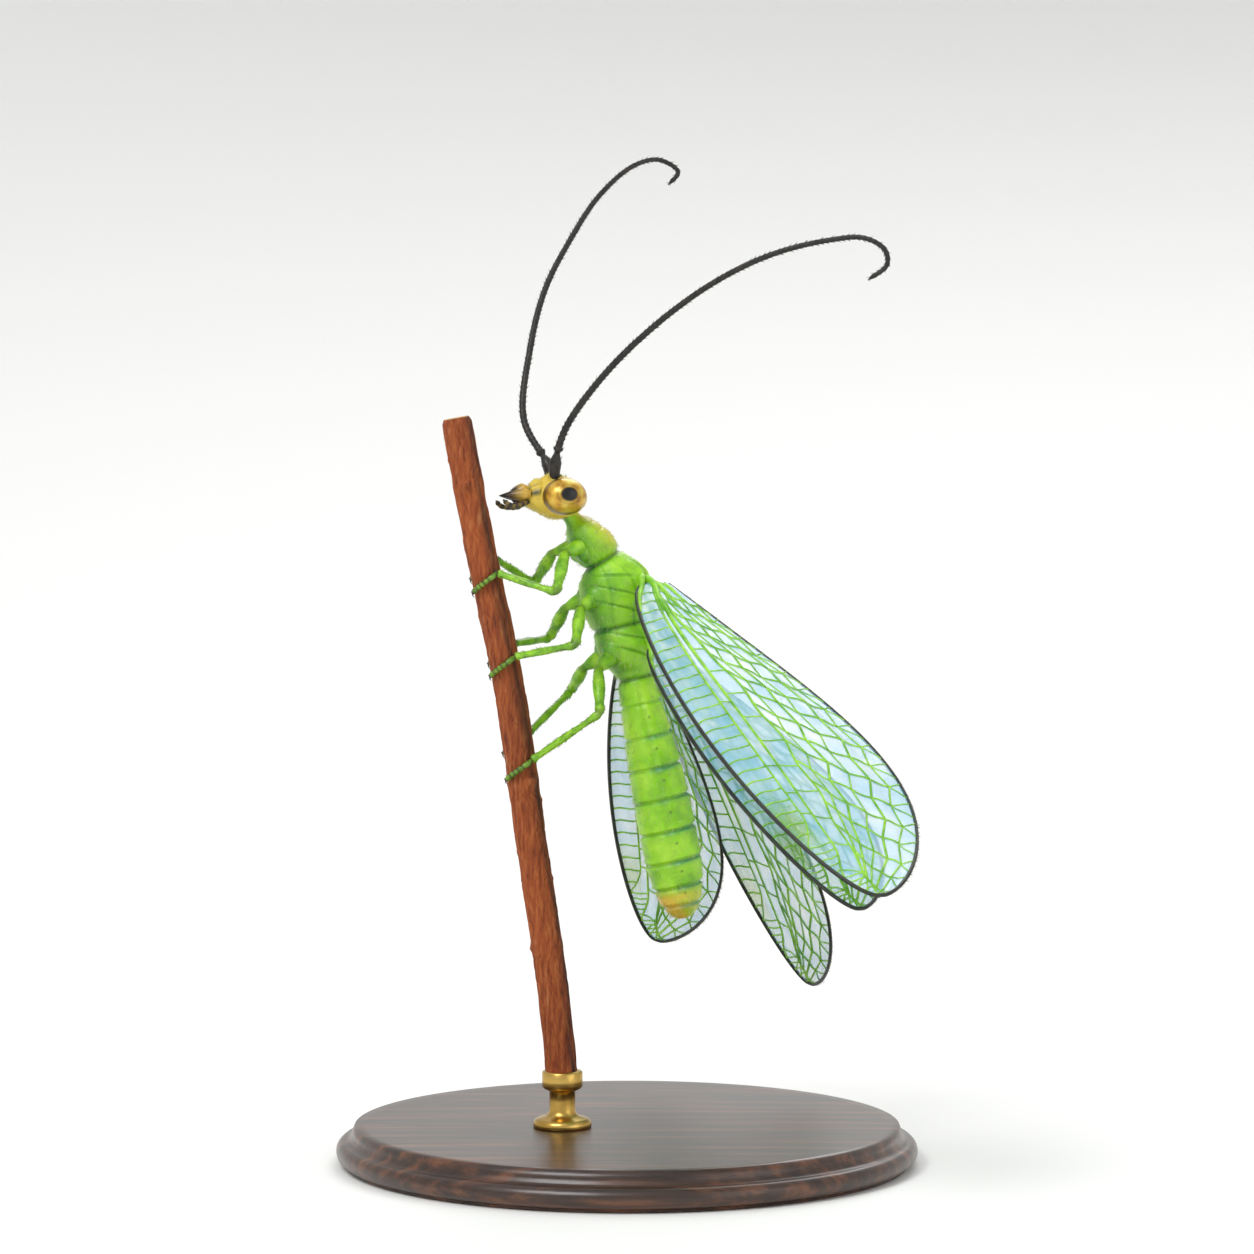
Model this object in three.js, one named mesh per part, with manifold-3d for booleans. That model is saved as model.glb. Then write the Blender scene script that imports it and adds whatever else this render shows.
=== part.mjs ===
// A green lacewing at life size, clinging head up to a short cut length of twig on a plain display stand.
// The insect is built in its own frame (x to the head, y to its left, z to its back) and set on the
// twig by one group.
import * as THREE from "three";
import { mergeVertices } from "three/addons/utils/BufferGeometryUtils.js";
import Module from "manifold-3d";

const wasm = await Module();
wasm.setup();

// Driving dimensions in millimetres, and angles in degrees
const GAP = 0.25; // what touching pieces keep between them
const BODY_PLACE = new THREE.Vector3(-0.29, 0, 18.23); // middle of the thorax above the floor
const BODY_LEAN = 14; // the head end leans towards the twig
const BODY_ROLL = 15.6; // the belly turns a little to the front
const HEAD_PLACE = new THREE.Vector3(3.86, 0, -1.16);
const HEAD_PITCH = 14; // the face looks up along the twig, the mouth points at it
const HEAD_LONG = 0.74;
const HEAD_WIDE = 0.66;
const HEAD_HIGH = 0.96;
const EYE = { x: 0.04, y: 0.62, z: 0.14, long: 0.6, wide: 0.62, high: 0.72 };
const FEELER_RADIUS = { root: 0.26, tip: 0.17 };
const FOREWING = { length: 16.5, lead: 0.13, trail: 0.215, ridge: 0.11 };
const HINDWING = { length: 14.2, lead: 0.105, trail: 0.19, ridge: 0.11 };
const MEMBRANE_HALF = 0.25;
const MARGIN_HALF = 0.2;
const VEIN_ROWS = [0, 0.15, 0.36, 0.56, 0.75, 1]; // costa, radius, sector, two inner veins, hind margin
const VEIN_SIDE = 0.035; // half width of a vein ridge, as a share of the wing's width
const WING_STATIONS = 26;
const TWIG_DEPTH = -0.95; // the whole twig lies in this plane
const TWIG_POINTS = [
  [-2.1, 2.9],
  [-2.46, 6.26],
  [-3.06, 10.34],
  [-3.62, 14.4],
  [-3.96, 16.43],
  [-4.8, 20.47],
  [-5.5, 24.3],
];
const TWIG_RADIUS = 0.52;
const BASE_RADIUS = 9.5;
const BASE_HIGH = 1.3;
const ROD_RADIUS = 0.42;
const COLLAR = { radius: 0.95, high: 0.5 };
const FEMUR_RADIUS = 0.27;
const SHIN_RADIUS = 0.25;
const FOOT_RADIUS = 0.22;

const twigCurve = new THREE.CatmullRomCurve3(
  TWIG_POINTS.map(([x, z]) => new THREE.Vector3(x, TWIG_DEPTH, z)),
  false,
  "centripetal",
);
const twigAt = (high) => {
  let [from, to] = [0, 1];
  for (let i = 0; i < 24; i++) {
    const middle = (from + to) / 2;
    [from, to] = twigCurve.getPoint(middle).z < high ? [middle, to] : [from, middle];
  }
  return twigCurve.getPoint(from);
};

const rad = THREE.MathUtils.degToRad;
const V = (x, y, z) => new THREE.Vector3(x, y, z);

// Materials
const finish = (color, roughness, more = {}) =>
  new THREE.MeshStandardMaterial({ color, roughness, metalness: 0, ...more });
const LOOKS = {
  green: finish(0x8fd01e, 0.45),
  yellow: finish(0xd9c83a, 0.45),
  gold: finish(0xc9a227, 0.2, { metalness: 0.6 }),
  dark: finish(0x2a2416, 0.5),
  wing: finish(0xbfe3ea, 0.2, { transparent: true, opacity: 0.45 }),
  bark: finish(0x8f4513, 0.85),
  wood: finish(0x3a2419, 0.4),
  brass: finish(0xb08d4a, 0.3, { metalness: 1 }),
};

// One closed body from shared vertices and faces, turned to face outwards
function closedBody(points, faces) {
  let sixVolumes = 0;
  for (const [a, b, c] of faces) {
    sixVolumes += points[a].dot(points[b].clone().cross(points[c]));
  }
  const turned = sixVolumes < 0 ? faces.map(([a, b, c]) => [a, c, b]) : faces;
  const geometry = new THREE.BufferGeometry().setFromPoints(points);
  geometry.setIndex(turned.flat());
  return geometry;
}

// A closed skin over rings of equal counts, with a fan to the middle of each end ring
function skinned(rings) {
  const around = rings[0].length;
  const points = rings.flat();
  const faces = [];
  for (let i = 0; i + 1 < rings.length; i++) {
    for (let j = 0; j < around; j++) {
      const a = i * around + j;
      const b = i * around + ((j + 1) % around);
      faces.push([a, b, b + around], [a, b + around, a + around]);
    }
  }
  const last = (rings.length - 1) * around;
  for (const [from, turn] of [[0, true], [last, false]]) {
    const middle = points.length;
    const ring = rings[from / around];
    points.push(ring.reduce((s, p) => s.add(p), V(0, 0, 0)).divideScalar(around));
    for (let j = 0; j < around; j++) {
      const pair = [from + j, from + ((j + 1) % around)];
      faces.push(turn ? [pair[1], pair[0], middle] : [pair[0], pair[1], middle]);
    }
  }
  return closedBody(points, faces);
}

// A round limb along points, with a radius for each. The end rings lie in the planes given, so that
// two limbs that meet at an angle face each other flat.
function limb(path, radii, sides, startPlane, endPlane) {
  const rings = [];
  let side = null;
  path.forEach((p, i) => {
    const before = path[Math.max(i - 1, 0)];
    const after = path[Math.min(i + 1, path.length - 1)];
    const along = after.clone().sub(before).normalize();
    const seed = side ?? (Math.abs(along.y) < 0.8 ? V(0, 1, 0) : V(1, 0, 0));
    side = seed.clone().addScaledVector(along, -seed.dot(along)).normalize();
    const other = along.clone().cross(side);
    const plane = i === 0 ? startPlane : i === path.length - 1 ? endPlane : null;
    const ring = [];
    for (let j = 0; j < sides; j++) {
      const turn = (2 * Math.PI * j) / sides;
      const point = p
        .clone()
        .addScaledVector(side, radii[i] * Math.cos(turn))
        .addScaledVector(other, radii[i] * Math.sin(turn));
      if (plane) {
        const slide = plane.at.clone().sub(point).dot(plane.normal) / along.dot(plane.normal);
        point.addScaledVector(along, slide);
      }
      ring.push(point);
    }
    rings.push(ring);
  });
  return skinned(rings);
}

// The planes on both sides of a bend, half a gap from it
function mitre(before, bend, after) {
  const normal = bend.clone().sub(before).normalize().add(after.clone().sub(bend).normalize()).normalize();
  return {
    end: { at: bend.clone().addScaledVector(normal, -GAP / 2), normal },
    start: { at: bend.clone().addScaledVector(normal, GAP / 2), normal },
  };
}

// A trunk of oval rings: each station has its middle, pitch, half width, and reach up and down
function trunk(stations, sides) {
  return skinned(
    stations.map(({ x, z, pitch = 0, wide, up, down }) => {
      const lift = V(-Math.sin(rad(pitch)), 0, Math.cos(rad(pitch)));
      return Array.from({ length: sides }, (_, j) => {
        const turn = (2 * Math.PI * (j + 0.5)) / sides;
        const rise = Math.sin(turn) * (Math.sin(turn) > 0 ? up : down);
        return V(x, Math.cos(turn) * wide, z).addScaledVector(lift, rise);
      });
    }),
  );
}

// An ellipsoid as a closed body
function ellipsoid(middle, long, wide, high, around = 12, down = 8) {
  const ball = new THREE.SphereGeometry(1, around, down);
  ball.rotateX(Math.PI / 2);
  ball.scale(long, wide, high).translate(middle.x, middle.y, middle.z);
  return ball;
}

function toSolid(geometry) {
  const bare = geometry.clone();
  for (const name of ["normal", "uv"]) {
    bare.deleteAttribute(name);
  }
  const merged = mergeVertices(bare, 1e-4);
  const mesh = new wasm.Mesh({
    numProp: 3,
    vertProperties: new Float32Array(merged.attributes.position.array),
    triVerts: new Uint32Array(merged.index.array),
  });
  return new wasm.Manifold(mesh);
}

// The largest body of a solid, as a geometry
function fromSolid(solid) {
  const whole = solid.decompose().sort((a, b) => b.volume() - a.volume())[0];
  const mesh = whole.getMesh();
  const geometry = new THREE.BufferGeometry();
  geometry.setAttribute("position", new THREE.BufferAttribute(new Float32Array(mesh.vertProperties), 3));
  geometry.setIndex(new THREE.BufferAttribute(new Uint32Array(mesh.triVerts), 1));
  return geometry;
}

const fused = (...bodies) => fromSolid(bodies.map(toSolid).reduce((a, b) => a.add(b)));
const cutBy = (body, ...tools) =>
  fromSolid(tools.map(toSolid).reduce((a, b) => a.subtract(b), toSolid(body)));

const model = new THREE.Group();
const lacewing = new THREE.Group();
const lean = rad(BODY_LEAN);
const roll = rad(BODY_ROLL);
const headward = V(-Math.sin(lean), 0, Math.cos(lean));
const backward = V(Math.cos(lean) * Math.cos(roll), Math.sin(roll), Math.sin(lean) * Math.cos(roll));
const leftward = backward.clone().cross(headward);
lacewing.quaternion.setFromRotationMatrix(new THREE.Matrix4().makeBasis(headward, leftward, backward));
lacewing.position.copy(BODY_PLACE);
lacewing.updateMatrixWorld(true);
model.add(lacewing);

function add(group, name, geometry, look) {
  const mesh = new THREE.Mesh(geometry, LOOKS[look]);
  mesh.name = name;
  group.add(mesh);
}
const inBody = (point) => lacewing.worldToLocal(point.clone());

// Head: a capsule with a bulging face, cut flat behind for the neck
const pitch = rad(HEAD_PITCH);
const FACE = V(Math.cos(pitch), 0, Math.sin(pitch));
const CROWN = V(-Math.sin(pitch), 0, Math.cos(pitch));
const onHead = (x, y, z) =>
  HEAD_PLACE.clone().addScaledVector(FACE, x).addScaledVector(CROWN, z).add(V(0, y, 0));
const headTurn = new THREE.Matrix4()
  .makeTranslation(HEAD_PLACE.x, HEAD_PLACE.y, HEAD_PLACE.z)
  .multiply(new THREE.Matrix4().makeRotationY(-pitch));
const asHead = (geometry) => geometry.applyMatrix4(headTurn);
const capsule = (grow, around, down) =>
  ellipsoid(V(0, 0, 0), HEAD_LONG + grow, HEAD_WIDE + grow, HEAD_HIGH + grow, around, down);

function buildHead() {
  const muzzle = ellipsoid(V(0.1, 0, -0.72), 0.5, 0.46, 0.5, 10, 7);
  const brow = ellipsoid(V(0.42, 0, -0.02), 0.4, 0.46, 0.5, 10, 7);
  const head = fused(capsule(0, 16, 12), muzzle, brow);
  add(lacewing, "head", asHead(head), "yellow");
  for (const [name, side] of [["left", 1], ["right", -1]]) {
    const ball = ellipsoid(V(EYE.x, side * EYE.y, EYE.z), EYE.long, EYE.wide, EYE.high, 14, 10);
    const room = capsule(GAP * 0.8, 14, 10);
    const browRoom = ellipsoid(V(0.42, 0, -0.02), 0.4 + GAP, 0.46 + GAP * 0.5, 0.5 + GAP, 10, 7);
    add(lacewing, `eye_${name}`, asHead(cutBy(ball, room, browRoom)), "gold");
  }
}

// Mouthparts: upper lip and jaws as one wedge that narrows to the tip, and a jointed palp each side
function buildMouth() {
  const root = -0.72 - 0.5 - GAP * 0.6;
  const rings = [
    [root, 0.34, 0.3],
    [root - 0.16, 0.3, 0.26],
    [root - 0.36, 0.2, 0.16],
    [root - 0.5, 0.09, 0.08],
  ].map(([z, wide, deep]) =>
    Array.from({ length: 10 }, (_, j) => {
      const turn = (2 * Math.PI * j) / 10;
      return V(0.1 + deep * Math.sin(turn), wide * Math.cos(turn), z);
    }),
  );
  add(lacewing, "mouthparts", asHead(skinned(rings)), "dark");
  for (const [name, side] of [["left", 1], ["right", -1]]) {
    const path = [
      V(-0.16, side * 0.52, -1.16),
      V(-0.26, side * 0.6, -1.42),
      V(-0.22, side * 0.6, -1.66),
      V(-0.04, side * 0.5, -1.84),
    ];
    add(lacewing, `palp_${name}`, asHead(limb(path, [0.2, 0.22, 0.19, 0.09], 7)), "dark");
  }
}

// Feelers: long, curving and hooked at the end. The route is in the frame of the whole model, in mm.
const FEELER_ROUTES = {
  left: [
    [-2.0, -1.0, 23.93],
    [-0.87, -1.5, 25.55],
    [0.73, -2.2, 27.15],
    [2.63, -3.0, 28.57],
    [4.51, -3.9, 29.5],
    [6.37, -4.6, 29.96],
    [7.44, -5.0, 30.01],
    [8.06, -5.15, 29.64],
    [8.12, -5.2, 29.17],
    [7.53, -5.2, 28.7],
  ],
  right: [
    [-3.36, 0.95, 24.22],
    [-3.19, 2.2, 26.5],
    [-2.72, 3.6, 28.48],
    [-1.9, 5.0, 30.16],
    [-0.91, 6.3, 31.7],
    [0.27, 7.4, 32.74],
    [1.12, 7.9, 32.93],
    [1.74, 8.15, 32.53],
    [1.4, 8.2, 32.09],
  ],
};
const FEELER_PARTS = { base: [0, 0.2], middle: [0.2, 0.62], tip: [0.62, 1] };

function buildFeelers() {
  for (const [name, side] of [["left", 1], ["right", -1]]) {
    const socket = onHead(HEAD_LONG + 0.08 + GAP, side * 0.4, -0.12);
    const route = [socket, ...FEELER_ROUTES[name].map((p) => inBody(V(...p)))];
    const curve = new THREE.CatmullRomCurve3(route, false, "centripetal");
    const total = curve.getLength();
    for (const [part, [from, to]] of Object.entries(FEELER_PARTS)) {
      const start = from + (from > 0 ? GAP / 2 / total : 0);
      const end = to - (to < 1 ? GAP / 2 / total : 0);
      const steps = part === "tip" ? 18 : Math.max(5, Math.round((end - start) * 26));
      const shares = Array.from({ length: steps + 1 }, (_, i) => start + ((end - start) * i) / steps);
      const path = shares.map((share) => curve.getPointAt(share));
      const { root, tip } = FEELER_RADIUS;
      const radii = shares.map((share) => THREE.MathUtils.lerp(root, tip, share));
      add(lacewing, `antenna_${name}_${part}`, limb(path, radii, 7), "dark");
    }
  }
}

// Thorax: three rings of the trunk, with raised lobes over the wing muscles
const TRUNKS = {
  front: [
    { x: 1.78, z: -0.2, pitch: -22, wide: 0.74, up: 0.66, down: 0.7 },
    { x: 2.02, z: -0.3, pitch: -22, wide: 0.82, up: 0.66, down: 0.74 },
    { x: 2.45, z: -0.47, pitch: -22, wide: 0.78, up: 0.56, down: 0.64 },
    { x: 2.8, z: -0.62, pitch: -24, wide: 0.6, up: 0.42, down: 0.5 },
    { x: 3.03, z: -0.73, pitch: -28, wide: 0.36, up: 0.26, down: 0.3 },
  ],
  middle: [
    { x: 1.42, z: -0.1, pitch: -16, wide: 0.74, up: 0.66, down: 0.72 },
    { x: 1.2, z: -0.04, pitch: -8, wide: 0.98, up: 0.9, down: 0.98 },
    { x: 0.6, z: 0, wide: 1.14, up: 1.08, down: 1.16 },
    { x: -0.05, z: 0, wide: 1.12, up: 1.04, down: 1.16 },
    { x: -0.5, z: 0, wide: 0.98, up: 0.86, down: 1.04 },
  ],
  hind: [
    { x: -0.78, z: 0, wide: 0.94, up: 0.8, down: 1.0 },
    { x: -1.15, z: 0, wide: 1.04, up: 0.9, down: 1.04 },
    { x: -1.75, z: 0, wide: 0.9, up: 0.8, down: 0.9 },
    { x: -2.2, z: -0.02, wide: 0.62, up: 0.56, down: 0.62 },
  ],
};
const grown = (stations) =>
  stations.map((ring, i) => ({
    ...ring,
    x: ring.x + (i === 0 ? GAP : i === stations.length - 1 ? -GAP : 0),
    wide: ring.wide + GAP,
    up: ring.up + GAP,
    down: ring.down + GAP,
  }));

function buildThorax() {
  const headRoom = asHead(capsule(GAP, 14, 10));
  const shoulder = ellipsoid(V(2.02, 0, 0.1), 0.3, 0.5, 0.34, 10, 6);
  add(lacewing, "prothorax", cutBy(fused(trunk(TRUNKS.front, 14), shoulder), headRoom), "yellow");
  const lobes = [1, -1].map((side) => ellipsoid(V(0.7, side * 0.44, 0.74), 0.52, 0.4, 0.5, 12, 8));
  const shield = ellipsoid(V(-0.12, 0, 0.86), 0.36, 0.42, 0.36, 12, 8);
  add(lacewing, "mesothorax", fused(trunk(TRUNKS.middle, 16), ...lobes, shield), "green");
  const hindShield = ellipsoid(V(-1.3, 0, 0.66), 0.36, 0.5, 0.36, 12, 8);
  add(lacewing, "metathorax", fused(trunk(TRUNKS.hind, 16), hindShield), "green");
}

// Abdomen: nine rings that swell towards the tail, each a little fuller in its middle than at its joints
const RING_ENDS = [-2.45, -3.3, -4.35, -5.4, -6.45, -7.5, -8.5, -9.35, -9.95, -10.4];
const RING_GROOVE = 0.07;
function abdomenSize(x) {
  const share = (x - RING_ENDS[0]) / (RING_ENDS[9] - RING_ENDS[0]);
  const swell = 0.6 + 0.36 * Math.sin((Math.PI / 2) * Math.min(1, share / 0.62));
  const taper = share < 0.7 ? 1 : Math.sqrt(Math.max(0, 1 - ((share - 0.7) / 0.36) ** 2));
  return { size: swell * taper, droop: -0.03 - 0.34 * share ** 1.5 };
}

function buildAbdomen() {
  const parts = { base: [0, 3], middle: [3, 6], tip: [6, 9] };
  for (const [part, [first, end]] of Object.entries(parts)) {
    const stations = [];
    for (let k = first; k < end; k++) {
      for (const [share, fill] of [[0, 0], [0.16, 0.75], [0.5, 1], [0.84, 0.75], [1, 0]]) {
        if (share === 0 && k > first) {
          continue;
        }
        let x = THREE.MathUtils.lerp(RING_ENDS[k], RING_ENDS[k + 1], share);
        if (share === 0 && k === first && first > 0) {
          x -= GAP / 2;
        }
        if (share === 1 && k === end - 1 && end < 9) {
          x += GAP / 2;
        }
        const { size, droop } = abdomenSize(x);
        const full = size * (1 - RING_GROOVE * (1 - fill));
        stations.push({ x, z: droop, wide: full, up: full * 0.94, down: full * 0.98 });
      }
    }
    add(lacewing, `abdomen_${part}`, trunk(stations, 16), part === "tip" ? "yellow" : "green");
  }
}

// Wings: a thin blade whose veins stand up from its own surface on both faces.
// The leading half width is lead * sin(pi s)^0.5 and the trailing one trail * sin(pi s^1.45)^0.65, both
// times the length.
const WINGS = {
  forewing_left: { kind: FOREWING, side: 1, root: [0.6, 1.05, 1.05], sweep: 37.5, rise: 3, twist: 73 },
  forewing_right: { kind: FOREWING, side: -1, root: [0.6, 1.05, 1.05], sweep: 69.8, rise: 14, twist: 50 },
  hindwing_left: { kind: HINDWING, side: 1, root: [-1.45, 1.02, 0.7], sweep: 36.5, rise: 4, twist: 72 },
  hindwing_right: { kind: HINDWING, side: -1, root: [-1.45, 1.02, 0.7], sweep: 48.5, rise: 2, twist: 44.2 },
};

function wingGeometry({ kind, side, root, sweep, rise, twist }) {
  const [a, b, c] = [rad(sweep), rad(rise), rad(twist)];
  const along = V(-Math.sin(a) * Math.cos(b), side * Math.cos(a) * Math.cos(b), Math.sin(b));
  const flat = V(1, 0, 0).addScaledVector(along, -along.x).normalize();
  const above = along.clone().cross(flat).multiplyScalar(-side);
  const lead = flat.clone().multiplyScalar(Math.cos(c)).addScaledVector(above, -Math.sin(c));
  const normal = flat.clone().multiplyScalar(Math.sin(c)).addScaledVector(above, Math.cos(c));
  const start = V(root[0], side * root[1], root[2]).addScaledVector(along, GAP);

  const rows = VEIN_ROWS.flatMap((q, k) => [q - VEIN_SIDE, q, q + VEIN_SIDE].map((r) => ({ r, k, q })))
    .filter(({ r }) => r >= 0 && r <= 1)
    .map(({ r, k, q }) => ({ r, vein: r === q, band: r < q ? k - 1 : k }));
  const points = [];
  for (const face of [1, -1]) {
    for (let i = 0; i <= WING_STATIONS; i++) {
      const s = 0.998 * (1 - (1 - i / WING_STATIONS) ** 1.25);
      const front = kind.length * (kind.lead * Math.sin(Math.PI * s) ** 0.5 + 0.02 * (1 - s) ** 6);
      const hind = kind.length * (kind.trail * Math.sin(Math.PI * s ** 1.45) ** 0.65 + 0.03 * (1 - s) ** 6);
      for (const { r, vein, band } of rows) {
        const crossed = !vein && (i + band) % 2 === 0 && i > 1 && i < WING_STATIONS - 1;
        const rim = r === 0 || r === 1;
        const half = rim ? MARGIN_HALF : MEMBRANE_HALF + (vein || crossed ? kind.ridge : 0);
        const over = front - r * (front + hind);
        const arch = 0.35 * Math.sin(Math.PI * Math.min(1, s * 1.1)) * (1 - (2 * r - 1) ** 2);
        points.push(
          start
            .clone()
            .addScaledVector(along, s * kind.length)
            .addScaledVector(lead, over)
            .addScaledVector(normal, arch + face * half),
        );
      }
    }
  }
  const wide = rows.length;
  const layer = wide * (WING_STATIONS + 1);
  const faces = [];
  const quad = (p, q, r, s) => faces.push([p, q, r], [p, r, s]);
  for (let i = 0; i < WING_STATIONS; i++) {
    for (let j = 0; j + 1 < wide; j++) {
      const p = i * wide + j;
      quad(p, p + 1, p + wide + 1, p + wide);
      const q = p + layer;
      faces.push([q, q + wide + 1, q + 1], [q, q + wide, q + wide + 1]);
    }
    for (const j of [0, wide - 1]) {
      const p = i * wide + j;
      const edge = [p, p + wide, p + wide + layer, p + layer];
      quad(...(j === 0 ? edge : edge.reverse()));
    }
  }
  for (const i of [0, WING_STATIONS]) {
    for (let j = 0; j + 1 < wide; j++) {
      const p = i * wide + j;
      const edge = [p, p + layer, p + 1 + layer, p + 1];
      quad(...(i === 0 ? edge : edge.reverse()));
    }
  }
  return closedBody(points, faces);
}

function buildWings() {
  for (const [name, wing] of Object.entries(WINGS)) {
    add(lacewing, name, wingGeometry(wing), "wing");
  }
}

// Legs: hip and thigh, shin, and a jointed foot that curls round the twig and ends in a claw.
// root is where the hip leaves the trunk, knee the bend; grip is how high on the twig the foot lies.
const LEGS = {
  front_left: { root: [2.2, 0.5, -1.0], hip: [2.1, 0.75, -1.5], knee: [1.0, 1.75, -2.35], grip: 19.35 },
  middle_left: {
    root: [0.5, 0.62, -1.0],
    hip: [0.25, 0.95, -1.5],
    knee: [-0.78, 1.95, -2.2],
    grip: 16.65,
  },
  hind_left: { root: [-1.45, 0.55, -0.9], hip: [-1.8, 0.9, -1.4], knee: [-3.1, 1.9, -1.95], grip: 13.3 },
  front_right: { root: [2.2, -0.5, -1.0], hip: [2.15, -0.75, -1.5], knee: [1.3, -1.8, -2.1], grip: 19.75 },
  middle_right: {
    root: [0.5, -0.62, -1.0],
    hip: [0.3, -0.95, -1.5],
    knee: [-0.6, -2.05, -2.0],
    grip: 17.0,
  },
  hind_right: {
    root: [-1.45, -0.55, -0.9],
    hip: [-1.75, -0.9, -1.4],
    knee: [-2.45, -2.0, -1.75],
    grip: 14.1,
  },
};
const FOOT_TURN = { from: 52, to: 142, drop: 0.62 };

function footPath(side, grip) {
  const reach = TWIG_RADIUS + GAP + FOOT_RADIUS + 0.04;
  return Array.from({ length: 6 }, (_, i) => {
    const share = i / 5;
    const turn = rad(THREE.MathUtils.lerp(FOOT_TURN.from, FOOT_TURN.to, share));
    const high = grip - FOOT_TURN.drop * share;
    return inBody(twigAt(high).add(V(reach * Math.cos(turn), -side * reach * Math.sin(turn), 0)));
  });
}

function buildLegs() {
  for (const [name, { root, hip, knee, grip }] of Object.entries(LEGS)) {
    const side = name.endsWith("left") ? 1 : -1;
    const [r, h, k] = [V(...root), V(...hip), V(...knee)];
    const foot = footPath(side, grip);
    const knees = mitre(h, k, foot[0]);
    const ankles = mitre(k, foot[0], foot[1]);
    const thigh = limb(
      [r, r.clone().lerp(h, 0.6), h, h.clone().lerp(k, 0.3), h.clone().lerp(k, 0.7), k],
      [0.36, 0.36, 0.28, 0.3, FEMUR_RADIUS, FEMUR_RADIUS],
      8,
      null,
      knees.end,
    );
    add(lacewing, `leg_${name}_femur`, cutBy(thigh, trunk(grown(TRUNKS[name.split("_")[0]]), 16)), "green");
    const shin = [k, k.clone().lerp(foot[0], 0.33), k.clone().lerp(foot[0], 0.67), foot[0]];
    const shinBody = limb(shin, [0.27, SHIN_RADIUS, SHIN_RADIUS, SHIN_RADIUS], 8, knees.start, ankles.end);
    add(lacewing, `leg_${name}_tibia`, shinBody, "green");
    const sizes = foot.map((_, i) => (i === 5 ? 0.1 : FOOT_RADIUS + (i % 2 ? 0.03 : 0)));
    add(lacewing, `leg_${name}_tarsus`, limb(foot, sizes, 8, ankles.start), "dark");
  }
}

// Twig: a slightly uneven stem with swollen nodes where leaves once grew
function buildTwig() {
  const steps = 22;
  const path = Array.from({ length: steps + 1 }, (_, i) => {
    const share = i / steps;
    return twigCurve.getPointAt(share);
  });
  const radii = path.map((_, i) => {
    const swell = i % 7 === 3 ? 1 : 0.4 * Math.abs(Math.sin(2.1 * i));
    return TWIG_RADIUS - 0.05 + 0.05 * swell;
  });
  add(model, "twig", limb(path, radii, 10), "bark");
}

// Stand: a flat round base with a collar, and a short rod up to the foot of the twig
function buildStand() {
  const edge = 0.25;
  const rod = V(TWIG_POINTS[0][0], TWIG_DEPTH, 0);
  const disc = new THREE.LatheGeometry(
    [
      new THREE.Vector2(0, 0),
      new THREE.Vector2(BASE_RADIUS - edge, 0),
      new THREE.Vector2(BASE_RADIUS, edge),
      new THREE.Vector2(BASE_RADIUS, BASE_HIGH - edge),
      new THREE.Vector2(BASE_RADIUS - edge, BASE_HIGH),
      new THREE.Vector2(0, BASE_HIGH),
    ],
    32,
  ).rotateX(Math.PI / 2);
  add(model, "stand_base", disc, "wood");
  const foot = BASE_HIGH + GAP;
  const top = TWIG_POINTS[0][1] - GAP - 0.05;
  const pillar = new THREE.LatheGeometry(
    [
      new THREE.Vector2(0, foot),
      new THREE.Vector2(COLLAR.radius, foot),
      new THREE.Vector2(COLLAR.radius * 0.85, foot + COLLAR.high),
      new THREE.Vector2(ROD_RADIUS, foot + COLLAR.high),
      new THREE.Vector2(ROD_RADIUS, top),
      new THREE.Vector2(0, top),
    ],
    16,
  ).rotateX(Math.PI / 2);
  pillar.translate(rod.x, rod.y, 0);
  add(model, "stand_rod", pillar, "brass");
}

buildHead();
buildMouth();
buildFeelers();
buildThorax();
buildAbdomen();
buildWings();
buildLegs();
buildTwig();
buildStand();

export default model;
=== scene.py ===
import math

import bpy
import numpy as np
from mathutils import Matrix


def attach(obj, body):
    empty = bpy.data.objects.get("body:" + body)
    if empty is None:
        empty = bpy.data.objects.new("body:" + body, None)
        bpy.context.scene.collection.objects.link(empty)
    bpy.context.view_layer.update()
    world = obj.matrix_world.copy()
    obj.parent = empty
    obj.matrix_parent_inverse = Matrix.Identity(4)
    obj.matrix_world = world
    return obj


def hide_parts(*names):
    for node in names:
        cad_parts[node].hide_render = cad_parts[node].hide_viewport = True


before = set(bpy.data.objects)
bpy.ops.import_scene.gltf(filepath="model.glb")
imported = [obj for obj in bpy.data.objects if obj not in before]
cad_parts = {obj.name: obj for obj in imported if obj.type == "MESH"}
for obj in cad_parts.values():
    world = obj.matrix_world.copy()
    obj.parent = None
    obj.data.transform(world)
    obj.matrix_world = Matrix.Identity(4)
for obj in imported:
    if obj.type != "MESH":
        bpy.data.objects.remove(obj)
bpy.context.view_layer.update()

bl_info = {
    "name": "Green lacewing on a twig",
    "version": (1, 0, 0),
    "blender": (4, 5, 0),
    "location": "View3D > Sidebar > Lacewing",
    "description": "Builds a life-size lacewing with ringed feelers and lace wings, its twig and its stand",
    "category": "Add Mesh",
}

MM = 0.001
RNG_SEED = 7
PATCH_SIZE = 0.003  # side of the square that each hair takes in the unwrapped skin
HAIR_SIDES = 3
HAIR_SIDE_SEED = (0.3, 1, 0.2)  # any direction that no hair points along
LANE_STEPS = 40  # points worked out between two given ones of a lane
FINE_STEPS = 400  # points of a bent line before its corners are rounded
LEAST_LENGTH = 1e-12  # the least length that a vector is divided by

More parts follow.
